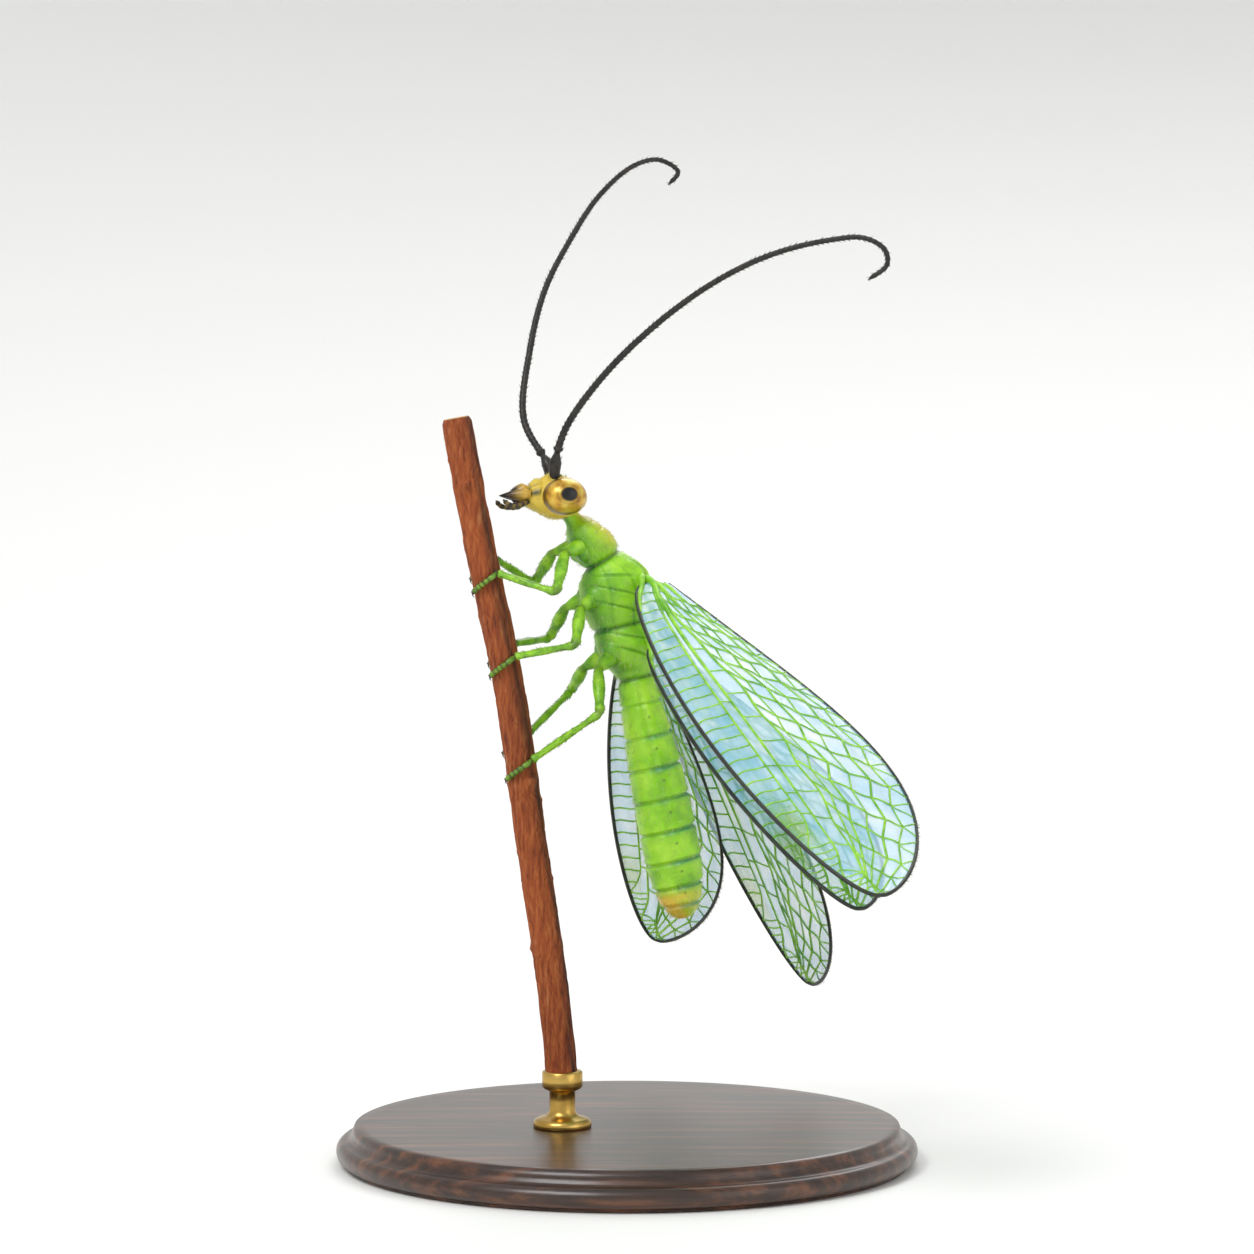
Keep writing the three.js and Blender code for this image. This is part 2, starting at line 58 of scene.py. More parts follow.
# The insect's own frame: x to the head, y to its left, z to its back
LEAN = math.radians(14)
ROLL = math.radians(15.6)
HEADWARD = np.array([-math.sin(LEAN), 0, math.cos(LEAN)])
BACKWARD = np.array([math.cos(LEAN) * math.cos(ROLL), math.sin(ROLL), math.sin(LEAN) * math.cos(ROLL)])
LEFTWARD = np.cross(BACKWARD, HEADWARD)
BODY_AXES = np.stack([HEADWARD, LEFTWARD, BACKWARD])
BODY_PLACE = np.array([-0.29, 0, 18.23])

# The head's frame: x to the face, z to the crown, away from the mouth
HEAD_PLACE = np.array([3.86, 0, -1.16])
HEAD_PITCH = math.radians(14)
HEAD_AXES = np.array(
    [
        [math.cos(HEAD_PITCH), 0, math.sin(HEAD_PITCH)],
        [0, 1, 0],
        [-math.sin(HEAD_PITCH), 0, math.cos(HEAD_PITCH)],
    ]
)
SIDES = (("left", 1), ("right", -1))


def from_body(points):
    """Points of the insect's frame in the frame of the whole model."""
    return np.asarray(points, float) @ BODY_AXES + BODY_PLACE


def to_body(points):
    """Points of the whole model's frame in the insect's own."""
    return (np.asarray(points, float) - BODY_PLACE) @ BODY_AXES.T


def from_head(points):
    """Points of the head's frame in the frame of the whole model."""
    return from_body(np.asarray(points, float) @ HEAD_AXES + HEAD_PLACE)


# Numbers along curves


def cubic(t, start, end, leave, arrive):
    """The cubic from start to end with the given slopes there, for t from 0 to 1."""
    first = start * (1 + 2 * t) * (1 - t) ** 2 + leave * t * (1 - t) ** 2
    return first + end * t * t * (3 - 2 * t) + arrive * t * t * (t - 1)


def through(x, knots, values):
    """A smooth curve through (knot, value) pairs: a cubic between each two, with its neighbours' slopes."""
    knots, values = np.asarray(knots, float), np.asarray(values, float)
    if knots[0] > knots[-1]:
        knots, values = knots[::-1], values[::-1]
    slopes = np.gradient(values, knots)
    x = np.clip(x, knots[0], knots[-1])
    i = np.clip(np.searchsorted(knots, x) - 1, 0, len(knots) - 2)
    span = knots[i + 1] - knots[i]
    t = (x - knots[i]) / span
    return cubic(t, values[i], values[i + 1], slopes[i] * span, slopes[i + 1] * span)


def bump(distance, width):
    """A soft hill: 1 in the middle, falling as a bell curve of the given width."""
    return np.exp(-((distance / width) ** 2))


def ripple(u, v, seed, waves=6, low=1, high=6):
    """Soft unevenness of about -1 to 1: sines over u and v, with whole numbers of waves round v."""
    rng = np.random.default_rng(seed)
    total = 0
    for _ in range(waves):
        along = rng.uniform(low, high) * 2 * np.pi
        round_ = rng.integers(0, high + 1)
        total = total + np.sin(along * u + round_ * v + rng.uniform(0, 2 * np.pi))
    return total / waves * 1.6


def line_length(points):
    """Length of a line of points: the sum of its steps."""
    return np.linalg.norm(np.diff(points, axis=0), axis=1).sum()


def evenly(points, count):
    """The same line with its points an equal way apart."""
    along = np.r_[0, np.cumsum(np.linalg.norm(np.diff(points, axis=0), axis=1))]
    at = np.linspace(0, along[-1], count)
    return np.stack([np.interp(at, along, points[:, k]) for k in range(3)], axis=1)


def lane(points, count):
    """A smooth line of evenly spaced points through the given ones: cubics paced by the root of each gap."""
    p = np.asarray(points, float)
    p = np.vstack([2 * p[0] - p[1], p, 2 * p[-1] - p[-2]])
    gaps = np.sqrt(np.linalg.norm(np.diff(p, axis=0), axis=1))
    t = np.linspace(0, 1, LANE_STEPS, endpoint=False)[:, None]
    runs = []
    for i in range(1, len(p) - 2):
        before, here, there, after = p[i - 1 : i + 3]
        d0, d1, d2 = gaps[i - 1 : i + 2]
        leave = ((here - before) / d0 - (there - before) / (d0 + d1) + (there - here) / d1) * d1
        arrive = ((there - here) / d1 - (after - here) / (d1 + d2) + (after - there) / d2) * d1
        runs.append(cubic(t, here, there, leave, arrive))
    return evenly(np.vstack([*runs, p[-2:-1]]), count)


def softened(points, reach, count):
    """A bent line with its corners rounded: each point is the mean of the line for reach to both sides."""
    fine = evenly(np.asarray(points, float), FINE_STEPS)
    n = max(1, int(reach / line_length(fine) * FINE_STEPS))
    away = np.arange(1, n + 1)[:, None]
    before = fine[0] + (fine[0] - fine[1]) * away[::-1]
    after = fine[-1] + (fine[-1] - fine[-2]) * away
    total = np.cumsum(np.vstack([np.zeros((1, 3)), before, fine, after]), axis=0)
    width = 2 * n + 1
    return evenly((total[width:] - total[:-width]) / width, count)


# Meshes


def unit(vectors):
    """Vectors scaled to a length of 1."""
    return vectors / np.maximum(np.linalg.norm(vectors, axis=-1, keepdims=True), LEAST_LENGTH)


def circle(count):
    """Equally spaced angles once round, without the last one that would meet the first."""
    return np.linspace(0, 2 * np.pi, count, endpoint=False)


def put_mesh(name, points, quads, triangles, marks=None):
    """A mesh object from points in millimetres, its faces turned outwards by the sign of its volume."""
    quads, triangles = np.asarray(quads).reshape(-1, 4), np.asarray(triangles).reshape(-1, 3)
    flat = np.vstack([quads[:, [0, 1, 2]], quads[:, [0, 2, 3]], triangles])
    a, b, c = points[flat[:, 0]], points[flat[:, 1]], points[flat[:, 2]]
    if (a * np.cross(b, c)).sum() < 0:
        quads, triangles = quads[:, ::-1], triangles[:, ::-1]
    mesh = bpy.data.meshes.new(name)
    mesh.from_pydata((points * MM).tolist(), [], quads.tolist() + triangles.tolist())
    mesh.shade_smooth()
    for mark_name, values in (marks or {}).items():
        layer = mesh.attributes.new(mark_name, "FLOAT", "POINT")
        layer.data.foreach_set("value", np.asarray(values, np.float32).ravel())
    made = bpy.data.objects.new(name, mesh)
    bpy.context.scene.collection.objects.link(made)
    return made


def shell_faces(rows, around):
    """Faces of a tube of rows of points, its ends closed by fans to the two points after the rows."""
    i, j = np.meshgrid(np.arange(rows - 1), np.arange(around), indexing="ij")
    k = (j + 1) % around
    quads = np.stack([i * around + j, i * around + k, (i + 1) * around + k, (i + 1) * around + j], axis=-1)
    j, k = np.arange(around), (np.arange(around) + 1) % around
    end = rows * around
    low = np.stack([k, j, np.full(around, end)], axis=-1)
    high = np.stack([end - around + j, end - around + k, np.full(around, end + 1)], axis=-1)
    return quads.reshape(-1, 4), np.vstack([low, high])


def rounded(name, grid, marks=None):
    """A closed piece from a grid of points whose rows are rings. Each end is shut by a fan of triangles
    round the middle point of its ring."""
    rows, around, _ = grid.shape
    points = np.vstack([grid.reshape(-1, 3), grid[0].mean(0), grid[-1].mean(0)])
    quads, triangles = shell_faces(rows, around)
    full = {
        key: np.r_[np.broadcast_to(v, (rows, around)).ravel(), np.mean(v[0]), np.mean(v[-1])]
        for key, v in (marks or {}).items()
    }
    return put_mesh(name, points, quads, triangles, full)


def tube_points(paths, radii, around, side):
    """Rings of the given radii round many paths at once: each ring is a circle square to its path, which
    starts on the side given."""
    paths, radii = np.asarray(paths, float), np.asarray(radii, float)
    tangent = unit(np.gradient(paths, axis=1))
    side = np.broadcast_to(side, paths.shape)
    across = unit(side - tangent * (side * tangent).sum(-1, keepdims=True))
    other = np.cross(tangent, across)
    turn = circle(around)
    rim = across[:, :, None] * np.cos(turn)[:, None] + other[:, :, None] * np.sin(turn)[:, None]
    return paths[:, :, None] + rim * radii[:, :, None, None]


def tubes(name, groups, marks=None, patches=None):
    """One object of many closed tubes. Each group is (paths, radii, around, side), with equal counts in it.
    patches gives each hair's place on the unwrapped skin, for bake_map."""
    points, quads, triangles, first = [], [], [], 0
    for paths, radii, around, side in groups:
        rings = tube_points(paths, radii, around, side)
        count, rows = rings.shape[:2]
        ends = np.stack([np.asarray(paths)[:, 0], np.asarray(paths)[:, -1]], axis=1)
        block = np.concatenate([rings.reshape(count, -1, 3), ends], axis=1)
        size = block.shape[1]
        q, t = shell_faces(rows, around)
        starts = first + size * np.arange(count)[:, None, None]
        points.append(block.reshape(-1, 3))
        quads.append((q + starts).reshape(-1, 4))
        triangles.append((t + starts).reshape(-1, 3))
        first += size * count
    made = put_mesh(name, np.vstack(points), np.vstack(quads), np.vstack(triangles), marks)
    if patches is not None:
        bake_map(made.data, np.asarray(patches), first // len(patches))
    return made


def bake_map(mesh, patches, size):
    """The map named OFBake: the size points of each hair lie in a small square at its root's place."""
    local = np.arange(size)
    corner = np.stack([local % HAIR_SIDES / 2, np.minimum(local // HAIR_SIDES, 3) / 3], axis=1)
    spots = (patches[:, None] * (1 - PATCH_SIZE) + corner * PATCH_SIZE).reshape(-1, 2)
    index = np.empty(len(mesh.loops), np.int32)
    mesh.loops.foreach_get("vertex_index", index)
    layer = mesh.uv_layers.new(name="OFBake")
    layer.data.foreach_set("uv", spots[index].astype(np.float32).ravel())


def tube_mark(values, around):
    """A mark's values on one tube: one for each ring, and one for the point that closes each end."""
    return np.r_[np.repeat(values, around), values[0], values[-1]]


def square_to(tangents, turn, start):
    """Directions square to the tangents, each turned by turn from the one that start leads to."""
    seed = unit(np.cross(tangents, start))
    return seed * np.cos(turn)[:, None] + np.cross(tangents, seed) * np.sin(turn)[:, None]


def bristles(roots, directions, lengths, thick):
    """Fine hairs as a group of tubes: each leaves its root along its direction and thins to a point."""
    t = np.array([0, 0.5, 1.0])
    paths = roots[:, None] + unit(directions)[:, None] * t[:, None] * lengths[:, None, None]
    radii = np.broadcast_to(thick * np.array([1.0, 0.7, 0.08]), paths.shape[:2])
    return paths, radii, HAIR_SIDES, unit(np.cross(directions, directions[:, [1, 2, 0]]))[:, None]


def carried(hairs, place):
    """A group of hairs taken from one frame to another by place, each with a side of its own there."""
    paths, radii, around, _ = hairs
    paths = place(paths)
    return paths, radii, around, unit(np.cross(paths[:, 1] - paths[:, 0], HAIR_SIDE_SEED))[:, None]


# Materials


def srgb(text):
    """A linear colour from an sRGB hex value."""
    values = [int(text[i : i + 2], 16) / 255 for i in (0, 2, 4)]
    return [v / 12.92 if v <= 0.04045 else ((v + 0.055) / 1.055) ** 2.4 for v in values]


def new_material(name):
    """An empty material and its node tree."""
    made = bpy.data.materials.new(name)
    made.use_nodes = True
    made.node_tree.nodes.clear()
    return made, made.node_tree


def feed(tree, socket, value):
    """Gives a socket a value, or a link where the value is a (node, socket) pair."""
    if isinstance(value, tuple) and isinstance(value[0], bpy.types.Node):
        tree.links.new(value[0].outputs[value[1]], socket)
    elif socket.type == "RGBA" and len(value) == 3:
        socket.default_value = (*value, 1)
    else:
        socket.default_value = value


def node(tree, kind, inputs=None, **settings):
    """Adds a shader node. settings are its own values, and inputs are for its sockets."""
    made = tree.nodes.new(kind)
    for key, value in settings.items():
        setattr(made, key, value)
    for key, value in (inputs or {}).items():
        feed(tree, made.inputs[key], value)
    return made


def mixed(tree, share, below, above):
    """Colour below where share is 0 and above where it is 1."""
    return (node(tree, "ShaderNodeMix", {0: share, 6: below, 7: above}, data_type="RGBA"), 2)


def place(tree, scale=(1, 1, 1)):
    """Place on the piece in its own coordinates, stretched by scale."""
    where = node(tree, "ShaderNodeTexCoord")
    return (node(tree, "ShaderNodeMapping", {"Vector": (where, "Object"), "Scale": scale}), "Vector")


def noise(tree, size_mm, detail=3.0, rough=0.5, stretch=(1, 1, 1)):
    """Cloudy noise with lumps of about the given size."""
    inputs = {"Vector": place(tree, stretch), "Scale": 1 / (size_mm * MM)}
    inputs |= {"Detail": detail, "Roughness": rough}
    return (node(tree, "ShaderNodeTexNoise", inputs), "Fac")


def ramp(tree, fac, *stops):
    """A colour for each value of fac, blended between stops of (value, colour)."""
    made = node(tree, "ShaderNodeValToRGB", {"Fac": fac})
    elements = made.color_ramp.elements
    while len(elements) < len(stops):
        elements.new(0.5)
    for element, (at, colour) in zip(elements, stops):
        element.position = at
        element.color = (*colour, 1)
    return (made, "Color")


def relief(tree, height, depth_mm, strength):
    """Fine unevenness of the surface, depth_mm high where height is 1."""
    inputs = {"Height": height, "Distance": depth_mm * MM, "Strength": strength}
    return (node(tree, "ShaderNodeBump", inputs), "Normal")


def mark(tree, name):
    """How far a mark of the mesh holds at a place, from 0 to 1."""
    return (node(tree, "ShaderNodeAttribute", attribute_name=name), "Fac")


def finish(made, tree, colour, roughness, **more):
    """Closes a material with its surface shader. more holds the shader's other sockets."""
    inputs = {"Base Color": colour, "Roughness": roughness, **more}
    shader = node(tree, "ShaderNodeBsdfPrincipled", inputs)
    node(tree, "ShaderNodeOutputMaterial", {"Surface": (shader, "BSDF")})
    return made


def cuticle():
    """Insect skin: a smooth waxy shell over green fat, with a soft sheen."""
    made, tree = new_material("green cuticle")
    colours = bpy.context.scene.lacewing_body
    greens = (0.3, srgb("66A60A")), (0.5, tuple(colours.green)), (0.72, srgb("ACDC34"))
    green = ramp(tree, noise(tree, 0.9, 4), *greens)
    green = mixed(tree, mark(tree, "shade"), green, srgb("2E7A16"))
    green = mixed(tree, mark(tree, "gold"), green, tuple(colours.gold))
    green = mixed(tree, mark(tree, "band"), green, tuple(colours.band))
    green = mixed(tree, mark(tree, "dark"), green, srgb("1C2A10"))
    wax = {
        "Normal": relief(tree, noise(tree, 0.07, 3, 0.6), 0.012, 0.6),
        "Subsurface Weight": 0.12,
        "Subsurface Radius": (0.0004, 0.0006, 0.0002),
        "Subsurface Scale": 1.0,
        "Coat Weight": 0.15,
        "Coat Roughness": 0.3,
    }
    return finish(made, tree, green, 0.42, **wax)


def compound_eye():
    """Compound eye: glassy facets over a golden ground that shines like metal, with a dark middle."""
    made, tree = new_material("golden compound eye")
    colours = bpy.context.scene.lacewing_head
    # the facets are about 0.02 mm wide in life, and drawn at 0.045 mm so that they show
    facets = {"Vector": place(tree), "Scale": 1 / (0.045 * MM), "Randomness": 0.8}
    cells = node(tree, "ShaderNodeTexVoronoi", facets, feature="F1")
    golds = (0.3, srgb("9C6A10")), (0.5, tuple(colours.eye)), (0.75, srgb("E8D060"))
    gold = ramp(tree, noise(tree, 0.35, 2), *golds)
    gold = mixed(tree, mark(tree, "rim"), gold, srgb("3A2A0A"))
    gold = mixed(tree, mark(tree, "pupil"), gold, srgb("060504"))
    dome = node(tree, "ShaderNodeMath", {0: (cells, "Distance"), 1: -1.0}, operation="MULTIPLY")
    gloss = {"Metallic": 0.4, "Coat Weight": 0.35, "Coat Roughness": 0.2}
    return finish(made, tree, gold, 0.34, Normal=relief(tree, (dome, "Value"), 0.012, 0.4), **gloss)


def horn(name, deep, pale, rough=0.3):
    """Hard dark insect horn, glossy, browner where it is thin."""
    made, tree = new_material(name)
    colour = ramp(tree, noise(tree, 0.25, 3), (0.35, srgb(deep)), (0.7, srgb(pale)))
    colour = mixed(tree, mark(tree, "pale"), colour, srgb("C09A3A"))
    return finish(made, tree, colour, rough, Normal=relief(tree, noise(tree, 0.05, 2), 0.008, 0.5))


def leg_skin():
    """Leg skin: pale green, dusky towards the foot and brown at the claws, with a soft shine."""
    made, tree = new_material("green leg cuticle")
    greens = (0.3, srgb("4F8E14")), (0.55, srgb("86C01E")), (0.75, srgb("A4D236"))
    green = ramp(tree, noise(tree, 0.4, 3), *greens)
    green = mixed(tree, mark(tree, "dusk"), green, srgb("3C4412"))
    green = mixed(tree, mark(tree, "claw"), green, srgb("1C140A"))
    normal = relief(tree, noise(tree, 0.05, 2), 0.008, 0.6)
    return finish(made, tree, green, 0.4, Normal=normal, **{"Coat Weight": 0.12, "Coat Roughness": 0.3})


def membrane():
    """Wing membrane: a dry clear film, a few hundredths of a millimetre thick and pale blue in the light."""
    made, tree = new_material("wing membrane film")
    wings = bpy.context.scene.lacewing_wings
    blues = (0.35, srgb("92D0EA")), (0.52, tuple(wings.film)), (0.7, srgb("D8EEF4"))
    tint = ramp(tree, noise(tree, 1.3, 3), *blues)
    tint = mixed(tree, mark(tree, "spot"), tint, srgb("8CC06A"))
    film = {
        "Normal": relief(tree, noise(tree, 0.35, 2), 0.03, 0.5),
        "Alpha": 0.42,
        "Thin Film Thickness": 320.0,
        "Thin Film IOR": 1.45,
        "Specular IOR Level": 0.6,
    }
    return finish(made, tree, tint, 0.16, **film)


def vein_skin(name, deep, pale):
    """Wing vein or hair: a fine tube of skin, dull and slightly uneven in colour."""
    made, tree = new_material(name)
    colour = ramp(tree, noise(tree, 0.6, 2), (0.35, srgb(deep)), (0.65, srgb(pale)))
    return finish(made, tree, colour, 0.45, Normal=relief(tree, noise(tree, 0.06, 2), 0.01, 0.5))


def twig_bark():
    """Young bark: orange-brown, dry and fibrous, with painted shade down the side turned from the key lamp,
    and cracks darkened partly in their own colour and partly as painted shade.
    """
    made, tree = new_material("twig bark")
    colours = bpy.context.scene.lacewing_stand
    fibres = noise(tree, 0.12, 5, 0.65, (1, 1, 0.16))
    dark, light = srgb("2A1006"), srgb("C89664")
    browns = (0.3, dark), (0.44, tuple(colours.bark)), (0.6, srgb("B0602A")), (0.74, light)
    colour = ramp(tree, fibres, *browns)
    dull = ramp(tree, noise(tree, 1.6, 4, 0.6, (1, 1, 0.5)), (0.4, srgb("6E2E0E")), (0.6, srgb("94461A")))
    colour = mixed(tree, 0.4, colour, dull)
    # painted shade: a dark streak down the side turned from the key lamp, and the crack hollows, dark partly
    # in the bark's own colour and partly as painted shade
    colour = mixed(tree, mark(tree, "furrow"), colour, srgb("1E0E06"))
    colour = mixed(tree, mark(tree, "wood"), colour, srgb("D8B884"))
    return finish(made, tree, colour, 0.82, Normal=relief(tree, fibres, 0.08, 0.9))


def turned_wood():
    """Stand wood: dark stained fine-grained hardwood, turned and waxed, with its grain straight across."""
    made, tree = new_material("dark turned hardwood")
    colours = bpy.context.scene.lacewing_stand
    browns = (0.3, srgb("1C0F09")), (0.5, tuple(colours.wood)), (0.68, srgb("6B4026"))
    colour = ramp(tree, noise(tree, 0.5, 6, 0.6, (0.08, 1, 1)), *browns)
    pores = relief(tree, noise(tree, 0.12, 3, 0.6, (0.06, 1, 1)), 0.02, 0.35)
    return finish(made, tree, colour, 0.36, Normal=pores, **{"Coat Weight": 0.3, "Coat Roughness": 0.2})


def brass():
    """Stand rod: turned brass, satin, with fine tool marks round it."""
    made, tree = new_material("satin turned brass")
    colour = ramp(tree, noise(tree, 1.2, 2), (0.35, srgb("B08A3E")), (0.65, srgb("D0AC5E")))
    tool_marks = relief(tree, noise(tree, 0.05, 2, 0.5, (0.05, 0.05, 1)), 0.01, 0.4)
    return finish(made, tree, colour, 0.28, Normal=tool_marks, Metallic=1.0)


def dress(piece, material, nodes=()):
    """Gives a piece its material, hangs it under the root empty and hides the imported parts that it stands
    for.
    """
    piece.data.materials.append(material)
    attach(piece, "root")
    if nodes:
        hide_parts(*nodes)
    return piece


# Body

BODY_TABLE = np.array(
    [  # x, middle z, half width, reach up, reach down, pitch of the ring in degrees
        [3.45, -0.95, 0.26, 0.22, 0.24, -28],
        [3.03, -0.75, 0.36, 0.29, 0.32, -28],
        [2.78, -0.61, 0.62, 0.46, 0.52, -24],
        [2.45, -0.47, 0.78, 0.58, 0.64, -22],
        [2.05, -0.31, 0.82, 0.7, 0.74, -22],
        [1.78, -0.21, 0.74, 0.68, 0.7, -20],
        [1.58, -0.14, 0.68, 0.62, 0.66, -18],
        [1.4, -0.1, 0.8, 0.74, 0.8, -14],
        [1.15, -0.04, 1.0, 0.94, 1.0, -8],
        [0.6, 0, 1.13, 1.1, 1.15, 0],
        [-0.05, 0, 1.11, 1.05, 1.15, 0],
        [-0.48, 0, 0.99, 0.88, 1.05, 0],
        [-0.66, 0, 0.93, 0.82, 1.0, 0],
        [-0.84, 0, 0.97, 0.84, 1.02, 0],
        [-1.2, 0, 1.04, 0.92, 1.03, 0],
        [-1.75, 0, 0.9, 0.8, 0.9, 0],
        [-2.2, -0.02, 0.66, 0.6, 0.65, 0],
        [-2.42, -0.03, 0.59, 0.55, 0.58, 0],
    ]
)
BODY_NODES = ("prothorax", "mesothorax", "metathorax", "abdomen_base", "abdomen_middle", "abdomen_tip")
NECK = BODY_TABLE[0, 0]
RING_ENDS = np.array([-2.45, -3.3, -4.35, -5.4, -6.45, -7.5, -8.5, -9.35, -9.95, -10.42])
TAIL = RING_ENDS[-1]
TAIL_CLOSES = -10.1  # from here the rings draw together to the tail
WAIST = -2.6
BELLY_END = -9.9

# Forms of the skin. x is along the body. top is in degrees from the middle of the back, and lift in
# degrees above the middle of the side.
THORAX_FOLDS = (1.58, -0.66, -2.42)
NECK_FOLDS = (2.42, 2.72)
BACK_LOBES = (  # x, its reach, top, its reach, height
    (0.72, 0.46, 33, 19, 0.17),  # front wing muscles
    (-0.13, 0.2, 0, 24, 0.15),  # front shield
    (-1.12, 0.26, 28, 18, 0.12),  # hind wing muscles
    (-1.62, 0.17, 0, 22, 0.12),  # hind shield
)
LEG_SOCKETS = ((2.2, -58, 0.12), (0.5, -56, 0.17), (-1.4, -55, 0.15))  # x, lift, height
WING_SOCKETS = ((0.6, 43, 0.13), (-1.4, 40, 0.11))  # x, lift, height
BACK_LINES = ((0.8, 0.5, 0.8), (-1.1, 0.3, 0.5))  # x, its reach, depth
BACK_SEAMS = (  # x on the middle line, bend, width, reach of top, depth
    (0.2, 0.0006, 0.05, 48, 1.0),
    (-1.38, 0.0004, 0.045, 45, 0.8),
    (1.22, -0.0003, 0.04, 50, 0.7),
)
FLANK_SEAMS = ((1.0, 0.006), (0.45, 0.009), (-0.1, 0.009), (-1.05, 0.007), (-1.55, 0.008))  # x, slant
FLANK_LINES = (  # height, wave, pace of the wave, x, its reach, depth
    (-18, -7, 3, 0.1, 1.4, 0.7),
    (24, -5, 2.4, 0.3, 1.3, 0.6),
)


def abdomen_size(x):
    """Half width and middle height of the abdomen: a quarter sine that swells towards two thirds of its
    length, then a rounded end, while the middle sinks as the length to the power 1.5."""
    share = np.clip((x - RING_ENDS[0]) / (TAIL - RING_ENDS[0]), 0, 1)
    swell = 0.6 + 0.36 * np.sin(np.pi / 2 * np.minimum(1, share / 0.62))
    taper = np.where(share < 0.7, 1, np.sqrt(np.clip(1 - ((share - 0.7) / 0.302) ** 2, 0, 1)) ** 0.8)
    return swell * taper, -0.03 - 0.34 * share**1.5


def body_frame(x):
    """The ring at x: middle height, half width, reach up and down, and pitch. The table holds to the
    waist, and the abdomen's own curve takes over there."""
    size, droop = abdomen_size(x)
    blend = np.clip((x + 2.3) / -0.3, 0, 1)
    table = [through(x, BODY_TABLE[:, 0], BODY_TABLE[:, k]) for k in range(1, BODY_TABLE.shape[1])]
    middle = np.where(x < RING_ENDS[0], droop, table[0])
    wide = table[1] * (1 - blend) + size * blend
    up = table[2] * (1 - blend) + size * 0.94 * blend
    down = table[3] * (1 - blend) + size * 0.98 * blend
    return middle, wide, up, down, np.radians(table[4])


def off_side(turn):
    """Degrees above the middle of the side, below it when negative."""
    return np.degrees(np.arctan2(np.sin(turn), np.abs(np.cos(turn))))


def off_back(turn):
    """Degrees away from the middle of the back."""
    return np.degrees(np.arccos(np.clip(np.sin(turn), -1, 1)))


def body_relief(x, turn):
    """Height of the skin over its plain ring: a sum of soft hills and furrows for the folds between rings,
    the plates, the wing-muscle lobes and the leg sockets."""
    s, c = np.sin(turn), np.cos(turn)
    above, lift, top = np.clip(s, 0, 1), off_side(turn), off_back(turn)
    height = 0
    for end in RING_ENDS[1:-1]:
        size = abdomen_size(end)[0]
        height = height - size * 0.085 * bump(x - end, 0.055)
        height = height + size * 0.03 * bump(x - end - 0.13, 0.09)
        height = height + size * 0.012 * bump(x - end + 0.12, 0.08)
    belly = np.where((x < WAIST) & (x > BELLY_END), 1, 0)
    belly = belly * np.clip((WAIST - x) / 0.5, 0, 1) * np.clip((x + 10) / 0.5, 0, 1)
    pleats = 1 - 0.12 * np.sin(x * 2 * np.pi / 0.14)
    height = height - 0.045 * bump(lift + 14, 9) * belly * pleats
    for end in THORAX_FOLDS:
        height = height - 0.07 * bump(x - end, 0.07)
    for at in NECK_FOLDS:
        height = height - 0.035 * bump(x - at, 0.045) * above**0.5
    height = height - 0.03 * bump(c, 0.09) * above * bump(x - 2.3, 0.5)  # furrow down the neck plate
    for x0, x_reach, top0, top_reach, h in BACK_LOBES:
        height = height + h * bump(x - x0, x_reach) * bump(top - top0, top_reach)
    height = height - 0.1 * top_seams(x, top)
    height = height - 0.07 * flank_seams(x, lift)
    for x0, lift0, h in LEG_SOCKETS:
        height = height + h * bump(x - x0, 0.34) * bump(lift - lift0, 17)
        height = height - 0.05 * bump(np.hypot((x - x0) / 0.4, (lift - lift0) / 24) - 1, 0.2)
    for x0, lift0, h in WING_SOCKETS:
        height = height + h * bump(x - x0, 0.34) * bump(lift - lift0, 11)
    return height + 0.012 * ripple(x / 3.2, turn, 3) * np.clip(1 - np.abs(lift) / 200, 0, 1)


def top_seams(x, top):
    """Where the plates of the back meet: lines down the middle, bent seams before each shield, and a
    waved seam along each side."""
    seams = sum(depth * bump(x - x0, reach) * bump(top, 6) for x0, reach, depth in BACK_LINES)
    for x0, bend, width, reach, depth in BACK_SEAMS:
        seams = seams + depth * bump(x - x0 - bend * top**2, width) * bump(top, reach)
    return seams + 0.8 * bump(top - 52 + 14 * np.sin((x - 0.2) * 1.6), 4.5) * bump(x - 0.6, 0.62)


def flank_seams(x, lift):
    """Where the plates of the flanks meet: slanting lines down each side and two waved lines along it."""
    seams = sum(bump(x - x0 + slant * lift, 0.04) * bump(lift + 5, 34) for x0, slant in FLANK_SEAMS)
    for drop, wave, pace, x0, reach, depth in FLANK_LINES:
        seams = seams + depth * bump(lift + drop + wave * np.sin(x * pace), 3.5) * bump(x - x0, reach)
    return seams


def body_point(x, turn):
    """The skin: an oval ring at each x, pitched at the neck and raised by its relief along the ring's own
    normal. The relief fades out over the last half millimetre of the tail."""
    middle, wide, up, down, pitch = body_frame(x)
    s, c = np.sin(turn), np.cos(turn)
    reach = np.where(s > 0, up, down)
    height = body_relief(x, turn) * np.clip((x - TAIL) / 0.5, 0, 1)
    ny, nz = c / np.maximum(wide, 1e-3), s / np.maximum(reach, 1e-3)
    length = np.hypot(ny, nz)
    y = wide * c + height * ny / length
    rise = reach * s + height * nz / length
    return np.stack([x - np.sin(pitch) * rise, y, middle + np.cos(pitch) * rise], axis=-1)


